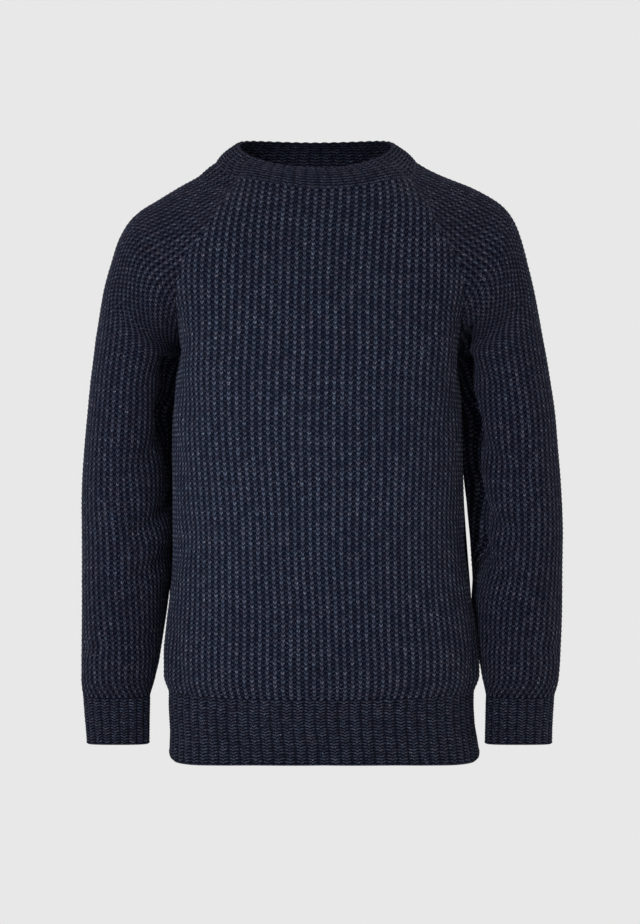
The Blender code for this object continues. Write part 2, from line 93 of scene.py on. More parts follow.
class Stitch(Enum):
    """The knitted structures: half-cardigan rib, the same pulled wider, and two firm ribs."""

    HALF_CARDIGAN = "half_cardigan"
    WIDE_CARDIGAN = "wide_cardigan"
    FIRM_RIB = "firm_rib"
    NECK_RIB = "neck_rib"


@dataclass(frozen=True)
class Table:
    """A short table of sizes, read between its rows on a smooth curve that never overshoots them.

    Args:
        columns: The names of the columns, parted by spaces. The first one is the key.
        rows: The table's rows, with rising keys.
    """

    columns: str
    rows: tuple[tuple[float, ...], ...]

    @cached_property
    def curves(self) -> dict[str, tuple[np.ndarray, np.ndarray]]:
        """Each column's values and the slopes of its curve at them."""
        names = self.columns.split()
        values = np.array(self.rows, float).T
        step = np.diff(values[0])
        curves = {}
        for name, y in zip(names, values):
            slope = np.diff(y) / step
            tangent = np.concatenate([slope[:1], np.zeros(len(y) - 2), slope[-1:]])
            rising = slope[:-1] * slope[1:] > 0
            before, after = slope[:-1][rising], slope[1:][rising]
            tangent[1:-1][rising] = 2 * before * after / (before + after)
            curves[name] = y, tangent
        return curves

    def read(self, name: str, at: float | np.ndarray) -> float | np.ndarray:
        """Reads a column.

        Args:
            name: The column's name.
            at: A value of the key, or several.

        Returns:
            The column's value there, held at its end value past the table's ends.
        """
        x, _ = self.curves[self.columns.split()[0]]
        y, tangent = self.curves[name]
        i = np.clip(np.searchsorted(x, at, side="right") - 1, 0, len(x) - 2)
        step = x[i + 1] - x[i]
        t = np.clip((at - x[i]) / step, 0, 1)
        start = y[i] * (1 + 2 * t) * (1 - t) ** 2 + y[i + 1] * t * t * (3 - 2 * t)
        return start + step * (tangent[i] * t * (1 - t) ** 2 - tangent[i + 1] * t * t * (1 - t))

    def point(self, at: float) -> np.ndarray:
        """The columns x, y and z at a value of the key."""
        return np.array([self.read(name, at) for name in "xyz"])


@dataclass(frozen=True)
class RaglanSeam:
    """A raglan seam on the wearer's left, from the collar down to the underarm.

    Args:
        stops: Its table: x, y, z, the headings at which the body's and the sleeve's rows meet it, where a
            body row stops running straight at the middle, how far each row keeps its heading, and how
            steeply the sleeve's rows climb along it.
    """

    stops: tuple[tuple[float, ...], ...]

    @cached_property
    def table(self) -> Table:
        """The stops, keyed by how far down the seam each one lies, from 0 to 1."""
        points = np.array(self.stops)[:, :3]
        run = np.concatenate([[0], np.cumsum(np.linalg.norm(np.diff(points, axis=0), axis=1))])
        rows = tuple((share, *stop) for share, stop in zip(run / run[-1], self.stops))
        return Table("share x y z body_turn sleeve_turn middle body_hold sleeve_hold climb", rows)

    def point(self, share: float) -> np.ndarray:
        """The seam's point at a share of the way down."""
        return self.table.point(share)


def heading(turn: float, facing: Facing) -> np.ndarray:
    """A level direction.

    Args:
        turn: Its angle from straight across, in degrees.
        facing: The side that it turns away from.

    Returns:
        The unit vector.
    """
    angle = math.radians(turn)
    return np.array([math.cos(angle), -facing.value * math.sin(angle), 0.0])


def on_curve(controls: tuple[np.ndarray, ...], shares: np.ndarray) -> tuple[np.ndarray, float]:
    """Places points on a cubic curve.

    Args:
        controls: Its four control points.
        shares: Where the points lie, as shares of the curve's length.

    Returns:
        The points and the curve's length.
    """
    t = np.linspace(0, 1, CURVE_POINTS)[:, None]
    a, b, c, d = controls
    line = (1 - t) ** 3 * a + 3 * (1 - t) ** 2 * t * b + 3 * (1 - t) * t**2 * c + t**3 * d
    run = np.concatenate([[0], np.cumsum(np.linalg.norm(np.diff(line, axis=0), axis=1))])
    at = np.clip(shares, 0, 1) * run[-1]
    return np.stack([np.interp(at, run, line[:, k]) for k in range(3)], axis=1), float(run[-1])


@dataclass(frozen=True)
class Cut:
    """The sweater's cut and form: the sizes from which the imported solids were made.

    Torso levels run from -1 at the hem's edge, by way of 0 at its seam and 1 at the underarm, to 2 at the
    neck. Sleeve levels run from 0 at the neck, by way of 1 at the underarm and 2 at the cuff's seam, to 3
    at the cuff's edge.

    Args:
        wall: How thick the cloth is.
        hem_seam_z: The height of the hem's seam.
        hem_height: How tall the hem is.
        underarm_z: The height of the underarm.
        neck_drops: How far the top rows of the front and the back dip in the middle.
        raglan_step: How much of a raglan seam gives its direction at a place.
        side: The side seam.
        squareness: How far torso rows run straight from their middle and from the side seam.
        front_middle: The line down the middle of the front.
        back_middle: The line down the middle of the back.
        front_raglan: The front raglan seam.
        back_raglan: The back raglan seam.
        over: The shoulder line.
        over_hold: How far sleeve rows run straight from the shoulder line, above the underarm.
        under: The underarm seam, and where the middles of the sleeve's front and back lie beside it.
        hang: The underarm seam's level at which a sleeve row ends.
        underarm_fade: The headings at which sleeve rows meet the underarm seam.
        side_fade: The headings at which torso rows meet the side seam.
        sway: How far the body and the sleeves lean to the wearer's left, by height.
    """

    wall: float = 0.0042
    hem_seam_z: float = -0.6035
    hem_height: float = 0.0705
    underarm_z: float = -0.215
    neck_drops: tuple[float, float] = (0.0155, -0.0015)
    raglan_step: float = 0.02
    side: Table = Table("z x", (
        (-0.6740, 0.1785), (-0.6640, 0.1775), (-0.6400, 0.1755), (-0.6070, 0.1755), (-0.6000, 0.1780),
        (-0.5880, 0.1815), (-0.5650, 0.1815), (-0.5300, 0.1780), (-0.4900, 0.1725), (-0.4300, 0.1680),
        (-0.3600, 0.1670), (-0.3000, 0.1665), (-0.2500, 0.1635), (-0.2150, 0.1600),
    ))
    squareness: Table = Table("z middle side", (
        (-0.6740, 0.60, 0.60), (-0.5000, 0.64, 0.60), (-0.4000, 0.70, 0.63), (-0.3000, 0.80, 0.69),
        (-0.2150, 0.90, 0.76),
    ))
    front_middle: Table = Table("z y", (
        (-0.6740, -0.1180), (-0.6400, -0.1175), (-0.6070, -0.1185), (-0.6000, -0.1215), (-0.5880, -0.1260),
        (-0.5650, -0.1270), (-0.5300, -0.1255), (-0.4300, -0.1235), (-0.3000, -0.1260), (-0.2150, -0.1245),
        (-0.1700, -0.1210), (-0.1300, -0.1150), (-0.0950, -0.1065), (-0.0650, -0.0965), (-0.0400, -0.0855),
    ))
    back_middle: Table = Table("z y", (
        (-0.6740, 0.1150), (-0.6400, 0.1135), (-0.6070, 0.1135), (-0.6000, 0.1160), (-0.5880, 0.1190),
        (-0.5650, 0.1190), (-0.5300, 0.1165), (-0.4300, 0.1105), (-0.3600, 0.1100), (-0.2500, 0.1145),
        (-0.1700, 0.1160), (-0.1000, 0.1110), (-0.0600, 0.1020), (-0.0250, 0.0880), (0.0060, 0.0720),
    ))
    front_raglan: RaglanSeam = RaglanSeam((
        (0.0955, -0.0560, -0.0245, 50, 50, 0.50, 0.028, 0.020, 0.10),
        (0.1150, -0.0845, -0.0600, 34, 34, 0.53, 0.040, 0.030, 0.35),
        (0.1310, -0.0950, -0.0890, 32, 29, 0.55, 0.046, 0.038, 0.50),
        (0.1565, -0.0910, -0.1320, 44, 10, 0.58, 0.042, 0.050, 0.60),
        (0.1600, -0.0800, -0.1600, 60, -20, 0.62, 0.042, 0.060, 0.45),
        (0.1595, -0.0430, -0.1950, 80, -55, 0.76, 0.060, 0.077, 0.15),
        (0.1600, 0.0000, -0.2150, 88, -72, 0.90, 0.094, 0.095, 0.00),
    ))
    back_raglan: RaglanSeam = RaglanSeam((
        (0.0885, 0.0525, 0.0045, 48, 48, 0.50, 0.028, 0.020, 0.10),
        (0.1110, 0.0800, -0.0340, 35, 35, 0.53, 0.040, 0.030, 0.35),
        (0.1330, 0.0925, -0.0740, 32, 29, 0.55, 0.046, 0.038, 0.50),
        (0.1570, 0.0930, -0.1190, 42, 12, 0.58, 0.042, 0.050, 0.60),
        (0.1610, 0.0810, -0.1580, 60, -20, 0.62, 0.042, 0.060, 0.45),
        (0.1600, 0.0430, -0.1950, 80, -55, 0.76, 0.058, 0.079, 0.15),
        (0.1600, 0.0000, -0.2150, 88, -72, 0.90, 0.088, 0.099, 0.00),
    ))
    over: Table = Table("level x y z", (
        (0.00, 0.1155, 0.0000, 0.0005), (0.13, 0.1400, 0.0000, -0.0150), (0.29, 0.1700, 0.0000, -0.0290),
        (0.42, 0.1940, 0.0000, -0.0430), (0.53, 0.2120, 0.0000, -0.0560), (0.62, 0.2230, 0.0000, -0.0700),
        (0.72, 0.2320, 0.0000, -0.0890), (0.85, 0.2405, 0.0000, -0.1160), (1.00, 0.2483, 0.0000, -0.1490),
        (1.10, 0.2555, -0.0005, -0.1960), (1.20, 0.2625, -0.0010, -0.2400), (1.30, 0.2675, -0.0020, -0.2850),
        (1.40, 0.2720, -0.0035, -0.3300), (1.50, 0.2755, -0.0055, -0.3770), (1.60, 0.2770, -0.0080, -0.4240),
        (1.70, 0.2770, -0.0110, -0.4710), (1.80, 0.2768, -0.0140, -0.5170), (1.90, 0.2768, -0.0175, -0.5630),
        (1.96, 0.2757, -0.0190, -0.5910), (2.00, 0.2715, -0.0200, -0.6095), (3.00, 0.2680, -0.0215, -0.6680),
    ))
    over_hold: Table = Table("level hold", (
        (0.0, 0.022), (0.25, 0.034), (0.5, 0.050), (0.75, 0.072), (1.0, 0.097),
    ))
    under: Table = Table("level x y z front back", (
        (1.00, 0.1600, 0.0000, -0.2150, -0.0710, 0.0745), (1.10, 0.1665, 0.0200, -0.2470, -0.0705, 0.0745),
        (1.20, 0.1668, 0.0300, -0.2830, -0.0695, 0.0735), (1.30, 0.1675, 0.0360, -0.3200, -0.0680, 0.0715),
        (1.40, 0.1675, 0.0380, -0.3580, -0.0665, 0.0690), (1.50, 0.1668, 0.0360, -0.3960, -0.0660, 0.0660),
        (1.60, 0.1682, 0.0310, -0.4340, -0.0660, 0.0615), (1.70, 0.1735, 0.0230, -0.4750, -0.0665, 0.0555),
        (1.80, 0.1800, 0.0120, -0.5180, -0.0670, 0.0480), (1.90, 0.1865, -0.0020, -0.5630, -0.0660, 0.0385),
        (1.96, 0.1900, -0.0120, -0.5910, -0.0620, 0.0300), (2.00, 0.1945, -0.0195, -0.6095, -0.0505, 0.0105),
        (3.00, 0.1955, -0.0215, -0.6680, -0.0500, 0.0070),
    ))
    hang: Table = Table("level low", (
        (1.00, 1.000), (1.10, 1.035), (1.20, 1.120), (1.30, 1.225), (1.40, 1.340), (1.50, 1.457),
        (1.60, 1.576), (1.70, 1.690), (1.80, 1.798), (1.90, 1.900), (3.00, 3.000),
    ))
    underarm_fade: Table = Table("level turn", ((1.0, -72), (1.06, -82), (1.14, -90)))
    side_fade: Table = Table("level turn", ((0.85, 90), (1.0, 88)))
    sway: Table = Table("z body sleeves", (
        (-0.680, 0.0052, 0.0005), (-0.655, 0.0036, 0.0005), (-0.640, 0.0023, 0.0004),
        (-0.620, 0.0013, 0.0004), (-0.585, 0.0018, 0.0003), (-0.510, 0.0006, 0.0002),
        (-0.470, -0.0008, 0.0001), (-0.400, -0.0018, 0.0000), (-0.300, -0.0030, -0.0010),
        (-0.250, -0.0026, -0.0015), (-0.215, -0.0010, -0.0010),
        (-0.150, 0.0000, 0.0000), (-0.095, 0.0020, 0.0020), (-0.055, 0.0050, 0.0050),
        (-0.035, 0.0055, 0.0055), (-0.020, 0.0020, 0.0020), (-0.005, -0.0040, -0.0040),
        (0.040, -0.0060, -0.0060),
    ))

    def middle(self, facing: Facing) -> Table:
        """The line down the middle of the front or back."""
        return self.front_middle if facing is Facing.FRONT else self.back_middle

    def raglan(self, facing: Facing) -> RaglanSeam:
        """The front or back raglan seam."""
        return self.front_raglan if facing is Facing.FRONT else self.back_raglan

    def torso_half_row(self, facing: Facing, level: float) -> tuple[np.ndarray, ...]:
        """Half a row of a torso panel.

        Args:
            facing: Front or back.
            level: The row's torso level.

        Returns:
            Its four control points, from the middle to the left edge.
        """
        drop = self.neck_drops[0 if facing is Facing.FRONT else 1]
        if level <= 1:
            rise = self.underarm_z - self.hem_seam_z if level > 0 else self.hem_height
            z = self.hem_seam_z + level * rise
            edge = np.array([self.side.read("x", z), 0.0, z])
            turn = self.side_fade.read("turn", level)
            hold = self.squareness.read("side", z) * abs(self.middle(facing).read("y", z))
            straight = self.squareness.read("middle", z)
        else:
            seam = self.raglan(facing)
            edge = seam.point(2 - level)
            turn, hold, straight = (
                seam.table.read(name, 2 - level) for name in ("body_turn", "body_hold", "middle")
            )
        z = edge[2] - drop * max(0.0, level - 1) ** 2
        middle = np.array([0.0, self.middle(facing).read("y", z), z])
        out = np.array([straight * edge[0], 0.0, 0.0])
        return middle, middle + out, edge - hold * heading(turn, facing), edge

    def sleeve_half_row(self, facing: Facing, level: float, lean: Table) -> tuple[np.ndarray, ...]:
        """Half a row of the left sleeve.

        Args:
            facing: Which half.
            level: The row's sleeve level.
            lean: How far the sleeve's inner and outer lines hang outward of the form's own.

        Returns:
            Its four control points, from the shoulder line to the sleeve's edge.
        """
        over = self.over.point(level) + np.array([lean.read("outer", level), 0.0, 0.0])
        if level < 1:
            seam = self.raglan(facing)
            edge = seam.point(level) + np.array([lean.read("inner", level), 0.0, 0.0])
            step = self.raglan_step
            up = seam.point(max(0.0, level - step)) - seam.point(max(step, level))
            turn, climb, hold = (
                seam.table.read(name, level) for name in ("sleeve_turn", "climb", "sleeve_hold")
            )
            over_hold = self.over_hold.read("hold", level)
            way = heading(turn, facing) + climb * up / np.linalg.norm(up)
        else:
            low = self.hang.read("low", level)
            edge = self.under.point(low) + np.array([lean.read("inner", low), 0.0, 0.0])
            reach = self.under.read("front" if facing is Facing.FRONT else "back", (level + low) / 2)
            # A cubic curve's middle lies at (a + 3b + 3c + d) / 8, so the two holds add up to this.
            both = (8 * abs(reach) - facing.value * 4 * (over[1] + edge[1])) / 3
            hold = (both - facing.value * (edge[1] - over[1])) / 2
            over_hold = both - hold
            way = heading(self.underarm_fade.read("turn", level), facing)
        way = way / np.linalg.norm(way)
        return over, over + np.array([0.0, facing.value * over_hold, 0.0]), edge + hold * way, edge

    def posed(self, points: np.ndarray, mirrored: bool, part: str) -> np.ndarray:
        """Gives points their side, and leans them as the pose does.

        Args:
            points: Points of the left or middle, in the last axis.
            mirrored: True for a piece of the wearer's right.
            part: Whether they belong to the body or the sleeves.

        Returns:
            The points in place.
        """
        points = points * (-1 if mirrored else 1, 1, 1)
        points[..., 0] += self.sway.read(part, points[..., 2])
        return points


CUT = Cut()
PLAIN = Table("level inner outer", ((0.0, 0.0, 0.0), (3.0, 0.0, 0.0)))


@dataclass(frozen=True)
class Crease:
    """A soft trough in a panel, or a ridge where its depth is below nought.

    Args:
        start: Where it starts, as a level and a share across.
        end: Where it ends.
        width: How wide it is.
        depth: How deep it is.
    """

    start: tuple[float, float]
    end: tuple[float, float]
    width: float
    depth: float

    def sunk(self, level: float, shares: np.ndarray, scale: tuple[float, float]) -> np.ndarray:
        """How far it sinks a row.

        Args:
            level: The row's level.
            shares: Where the points lie across.
            scale: Metres for a level and for a share.

        Returns:
            The depth at each point.
        """
        size = np.array(scale)[:, None]
        here = np.stack([np.full(len(shares), level), shares]) * size
        a, b = (np.array(place)[:, None] * size for place in (self.start, self.end))
        t = np.clip(((here - a) * (b - a)).sum(0) / ((b - a) ** 2).sum(), 0, 1)
        off = np.linalg.norm(here - a - t * (b - a), axis=0)
        return self.depth * np.exp(-((off / self.width) ** 2))


class Surface(ABC):
    """A form on which knitting lies, as rows of points across it.

    Attributes:
        part: Whether it sways with the body or the sleeves.
        outward: The sign that turns its normals outward.
        scale: Metres for a level and for a share.
        creases: The creases that sink it.
        fade: The share over which they die out beside its own seams.
        nudge: How far away the neighbours lie that give a point's normal.
        at_edge: The share past which a point lies on its edge.
    """

    part: str = "body"
    outward: int
    scale: tuple[float, float]
    creases: tuple[Crease, ...] = ()
    fade: float = 0.05
    nudge: float = 0.004
    at_edge: float = 0.999

    @abstractmethod
    def row(self, level: float, shares: np.ndarray) -> np.ndarray:
        """Points of a row, where the shares are -1 to 1 from edge to edge."""

    @abstractmethod
    def half_lengths(self, level: float) -> tuple[float, float]:
        """The length of each half of a row."""

    def share(self, level: float, x: np.ndarray) -> np.ndarray:
        """Where a wale lies across, from its number as a share of those in its half."""
        return x

    def tidy(self, level: float, shares: np.ndarray, normals: np.ndarray) -> np.ndarray:
        """Makes the normals at a row's two ends agree with what they meet."""
        return normals

    def sunk(self, level: float, shares: np.ndarray) -> np.ndarray:
        """How far the creases sink each point of a row."""
        depth = np.zeros(len(shares))
        for crease in self.creases:
            depth += crease.sunk(level, shares, self.scale)
        return depth * np.clip((1 - np.abs(shares)) / self.fade, 0, 1)

    def normals(self, level: float, limits: tuple[float, float], shares: np.ndarray) -> np.ndarray:
        """Outward unit normals of a row.

        Args:
            level: The row's level.
            limits: The lowest and highest level of the surface.
            shares: Where the points lie across.

        Returns:
            One normal a point.
        """
        a, b = max(level - self.nudge, limits[0]), min(level + self.nudge, limits[1])
        along = self.row(b, shares) - self.row(a, shares)
        left, right = np.minimum(shares + self.nudge, 1), np.maximum(shares - self.nudge, -1)
        normals = self.outward * np.cross(self.row(level, left) - self.row(level, right), along)
        return self.tidy(level, shares, normals / np.linalg.norm(normals, axis=1)[:, None])


class TorsoSurface(Surface):
    """The front or back panel and its hem rib, as one surface.

    Attributes:
        droop: How far the hem's edge droops, from its middle to its corners.
        spread: How far the wales spread from the middle, or bunch up there.
    """

    scale = (0.39, 0.27)
    droop = Table("share drop", (
        (0.00, 0.0005), (0.30, 0.0018), (0.50, 0.0044), (0.70, 0.0078), (0.82, 0.0088), (0.90, 0.0070),
        (0.95, 0.0040), (1.00, 0.0004),
    ))
    spread = Table("level spread", ((-1.0, -0.06), (0.0, -0.06), (0.5, 0.0), (1.0, 0.03), (2.0, 0.03)))

    def __init__(self, facing: Facing, creases: tuple[Crease, ...]) -> None:
        """Keeps which panel it is, and the creases of its own."""
        self.facing = facing
        self.outward = -facing.value
        self.creases = creases

    def row(self, level: float, shares: np.ndarray) -> np.ndarray:
        """Points of a row: -1 is its right edge, 0 the middle and 1 the left edge."""
        points, _ = on_curve(CUT.torso_half_row(self.facing, level), np.abs(shares))
        points[:, 0] *= np.where(shares < 0, -1, 1)
        points[:, 2] += min(level, 0.0) * self.droop.read("drop", np.abs(shares))
        return points

    def half_lengths(self, level: float) -> tuple[float, float]:
        """The length of each half of a row."""
        return (on_curve(CUT.torso_half_row(self.facing, level), np.zeros(1))[1],) * 2

    def share(self, level: float, x: np.ndarray) -> np.ndarray:
        """The wales bunch a little at the middle near the hem, and spread at the chest."""
        return x * (1 + self.spread.read("spread", level) * (1 - np.abs(x)))

    def tidy(self, level: float, shares: np.ndarray, normals: np.ndarray) -> np.ndarray:
        """At the side seam both panels' walls end in one plane."""
        if level <= 1:
            normals[np.abs(shares) > self.at_edge, 1] = 0
        return normals


class SleeveSurface(Surface):
    """A sleeve and its cuff, as one surface, on the wearer's left.

    Attributes:
        rise: How far the cuff's edge rises in the middle of its front.
    """

    part = "sleeves"
    outward = -1
    scale = (0.43, 0.18)
    fade = 0.08
    rise = 0.0026

    def __init__(self, creases: tuple[Crease, ...], lean: Table) -> None:
        """Keeps its creases, and how it leans."""
        self.creases = creases
        self.lean = lean

    def row(self, level: float, shares: np.ndarray) -> np.ndarray:
        """Points of a row: -1 is its front edge, 0 the shoulder line and 1 the back edge."""
        front, _ = on_curve(CUT.sleeve_half_row(Facing.FRONT, level, self.lean), np.abs(shares))
        back, _ = on_curve(CUT.sleeve_half_row(Facing.BACK, level, self.lean), np.abs(shares))
        points = np.where(shares[:, None] < 0, front, back)
        points[:, 2] += self.rise * max(0.0, level - 2) * np.sin(math.pi * np.clip(-shares, 0, 1))
        return points

    def half_lengths(self, level: float) -> tuple[float, float]:
        """The lengths of the front and back halves of a row."""
        rows = (CUT.sleeve_half_row(half, level, self.lean) for half in Facing)
        return tuple(on_curve(row, np.zeros(1))[1] for row in rows)

    def tidy(self, level: float, shares: np.ndarray, normals: np.ndarray) -> np.ndarray:
        """Below the underarm the row closes on itself, so its two ends share a normal."""
        if level >= 1:
            ends = np.abs(shares) > self.at_edge
            normals[ends] = normals[ends].mean(axis=0)
        return normals


class CollarSurface(Surface):
    """The neck band: its lower edge follows the top rows of the four panels that it is sewn to.

    Attributes:
        top_front: The upper edge's point in the middle of the front.
        top_side: Its point at the side.
        top_back: Its point in the middle of the back.
        side_run: How it comes to the side from the front.
        back_run: How it leaves the side for the back.
        front_hold: How it leaves the front's middle.
        back_hold: How it comes to the back's middle.
        middle: The middle of the neck.
        bulge: How far the band's middle stands out.
        edge_points: How many points each part of an edge is laid out with.
    """

    outward = 1
    scale = (0.04, 0.3)
    top_front = np.array([0.0, -0.0700, -0.0150])
    top_side = np.array([0.0880, 0.0040, 0.0240])
    top_back = np.array([0.0, 0.0600, 0.0350])
    side_run = np.array([0.0, -0.0410, -0.0165])
    back_run = np.array([0.0, 0.02952, 0.01188])
    front_hold = np.array([0.054, 0.0, 0.0])
    back_hold = np.array([0.052, 0.0, 0.0])
    middle = np.array([0.0, -0.005])
    bulge = 0.0022
    edge_points = 65

    def __init__(self) -> None:
        """Lays out the band's lower and upper edges."""
        evenly = np.linspace(0, 1, self.edge_points)
        self.low = np.concatenate([
            on_curve(CUT.torso_half_row(Facing.FRONT, 2.0), evenly)[0],
            on_curve(CUT.sleeve_half_row(Facing.FRONT, 0.0, PLAIN), evenly)[0][::-1],
            on_curve(CUT.sleeve_half_row(Facing.BACK, 0.0, PLAIN), evenly)[0],
            on_curve(CUT.torso_half_row(Facing.BACK, 2.0), evenly)[0][::-1],
        ])
        front, side, back = self.top_front, self.top_side, self.top_back
        to_side = (front, front + self.front_hold, side + self.side_run, side)
        to_back = (side, side + self.back_run, back + self.back_hold, back)
        self.high = np.concatenate([on_curve(to_side, evenly)[0], on_curve(to_back, evenly)[0]])

    @staticmethod
    def along(line: np.ndarray, shares: np.ndarray) -> np.ndarray:
        """Points at shares of a line's length."""
        run = np.concatenate([[0], np.cumsum(np.linalg.norm(np.diff(line, axis=0), axis=1))])
        return np.stack([np.interp(shares * run[-1], run, line[:, k]) for k in range(3)], axis=1)

    def row(self, level: float, shares: np.ndarray) -> np.ndarray:
        """Points of a ring: 0 is the middle of the front, and -1 and 1 are the middle of the back."""
        around = np.clip(np.abs(shares), 0, 1)
        low = self.along(self.low, around)
        points = low + level * (self.along(self.high, around) - low)
        bulge = self.bulge * 4 * level * (1 - level)
        out = points[:, :2] - self.middle
        points[:, :2] += bulge * out / np.linalg.norm(out, axis=1)[:, None]
        points[:, 2] += bulge
        points[:, 0] *= np.where(shares < 0, -1, 1)
        return points

    def half_lengths(self, level: float) -> tuple[float, float]:
        """The length of each half of the ring, taken at its lower edge."""
        return (float(np.linalg.norm(np.diff(self.low, axis=0), axis=1).sum()),) * 2

    def tidy(self, level: float, shares: np.ndarray, normals: np.ndarray) -> np.ndarray:
        """The ring closes on itself at the back, so its two ends share a normal."""
        ends = np.abs(shares) > self.at_edge
        normals[ends] = normals[ends].mean(axis=0)
        return normals


class Wire:
    """A number that a material works out. Operators on it add Math nodes."""

    def __init__(self, shader: "ShaderTree", socket: bpy.types.NodeSocket) -> None:
        """Wraps an output socket of a material's nodes."""
        self.shader = shader
        self.socket = socket

    def math(self, operation: str, *values: "Wire | float", first: "Wire | float | None" = None) -> "Wire":
        """Adds a Math node.

        Args:
            operation: The node's operation.
            values: What goes into its later sockets.
            first: What goes into its first socket, if that isn't this number.

        Returns:
            The node's result.
        """
        inputs = (self if first is None else first, *values)
        return self.shader.node("ShaderNodeMath", {"operation": operation}, dict(enumerate(inputs)))

    def __add__(self, other: "Wire | float") -> "Wire":
        """Adds."""
        return self.math("ADD", other)

    def __sub__(self, other: "Wire | float") -> "Wire":
        """Subtracts."""
        return self.math("SUBTRACT", other)

    def __rsub__(self, other: float) -> "Wire":
        """Subtracts this from a plain number."""
        return self.math("SUBTRACT", self, first=other)

    def __mul__(self, other: "Wire | float") -> "Wire":
        """Multiplies."""
        return self.math("MULTIPLY", other)

    def __truediv__(self, other: "Wire | float") -> "Wire":
        """Divides."""
        return self.math("DIVIDE", other)

    __radd__ = __add__
    __rmul__ = __mul__


Number = Wire | np.ndarray | float


def fraction(x: Number) -> Number:
    """What is left of a number past its whole part."""
    return x.math("FRACT") if isinstance(x, Wire) else x - np.floor(x)


def whole(x: Number) -> Number:
    """The whole number below."""
    return x.math("FLOOR") if isinstance(x, Wire) else np.floor(x)


def size_of(x: Number) -> Number:
    """A number without its sign."""
    return x.math("ABSOLUTE") if isinstance(x, Wire) else np.abs(x)


def root(x: Number) -> Number:
    """The square root."""
    return x.math("SQRT") if isinstance(x, Wire) else np.sqrt(x)


def clipped(x: Number) -> Number:
    """A number held between 0 and 1."""
    return x.math("MINIMUM", 1.0).math("MAXIMUM", 0.0) if isinstance(x, Wire) else np.clip(x, 0, 1)


def greater(x: Number, y: Number) -> Number:
    """The greater of two numbers."""
    return x.math("MAXIMUM", y) if isinstance(x, Wire) else np.maximum(x, y)


def ramp(x: Number, start: float, gain: float) -> Number:
    """How far a number is past a start, times a gain, held between 0 and 1."""
    return clipped((x - start) * gain)


def bump(x: Number, half_width: float) -> Number:
    """A smooth hump on 0, which ends half_width from it."""
    share = clipped(1 - (x / half_width) * (x / half_width))
    return share * share * (3 - 2 * share)


@dataclass(frozen=True)
class HalfCardigan:
    """Half-cardigan rib: wales of open V stitches, and strands that slant down between them.

    Lengths along are shares of a course, and lengths across are shares of a wale.

    Args:
        tip: Where a V's tip lies in its course.
        slope: How steeply its arms climb.
        roundness: How round its tip is.
        arm_reach: How far across its arms reach before they fade.
        arm_fade: How far they take to fade.
        arm_width: Half the width of an arm.
        strand_slope: How steeply the strands between two wales slant down.
        strand_start: How far across they start.
        strand_fade: How far they take to come up.
        strand_drop: How far below the V's tip they start.
        strand_width: Half their width.
        strand_light: How high they lie, where an arm lies at 1.
        column_light: How high the wale itself lies between its V's.
    """

    tip: float = 0.25
    slope: float = 1.95
    roundness: float = 0.05
    arm_reach: float = 0.19
    arm_fade: float = 0.06
    arm_width: float = 0.245
    strand_slope: float = 1.5
    strand_start: float = 0.24
    strand_fade: float = 0.08
    strand_drop: float = 0.10
    strand_width: float = 0.20
    strand_light: float = 0.28
    column_light: float = 0.16

    def across(self, wale: Number) -> Number:
        """How far a place lies from the middle of its wale."""
        return size_of(fraction(wale + 0.5) - 0.5)

    def climb(self, wale: Number) -> Number:
        """How far a V's arm has climbed at a place across."""
        off = self.across(wale)
        return self.slope * (root(off * off + self.roundness**2) - self.roundness)

    def lift(self, wale: Number) -> Number:
        """How far the mesh's rows climb there: along an arm for a quarter of a wale, then down again."""
        off = self.across(wale)
        return self.slope * (0.25 - size_of(off - 0.25))

    def strands(self, wale: Number, course: Number) -> Number:
        """How much yarn lies on top, from 0 in the holes to 1 on a V."""
        off = self.across(wale)
        along = fraction(course - self.tip - self.climb(wale) + 0.5) - 0.5
        arm = bump(along, self.arm_width) * clipped((self.arm_reach + self.arm_fade - off) / self.arm_fade)
        lower = course - self.tip + self.strand_drop + self.strand_slope * (off - self.strand_start)
        strand = bump(fraction(lower + 0.5) - 0.5, self.strand_width)
        beside = clipped((off - self.strand_start) / self.strand_fade)
        column = bump(off, self.arm_reach + self.arm_fade) * self.column_light
        return greater(arm, greater(column, strand * beside * self.strand_light))

    def stitch(self, wale: Number, course: Number) -> tuple[Number, Number]:
        """The whole numbers of the stitch that a place belongs to."""
        return whole(wale + 0.5), whole(course - self.tip - self.climb(wale) + 0.5)


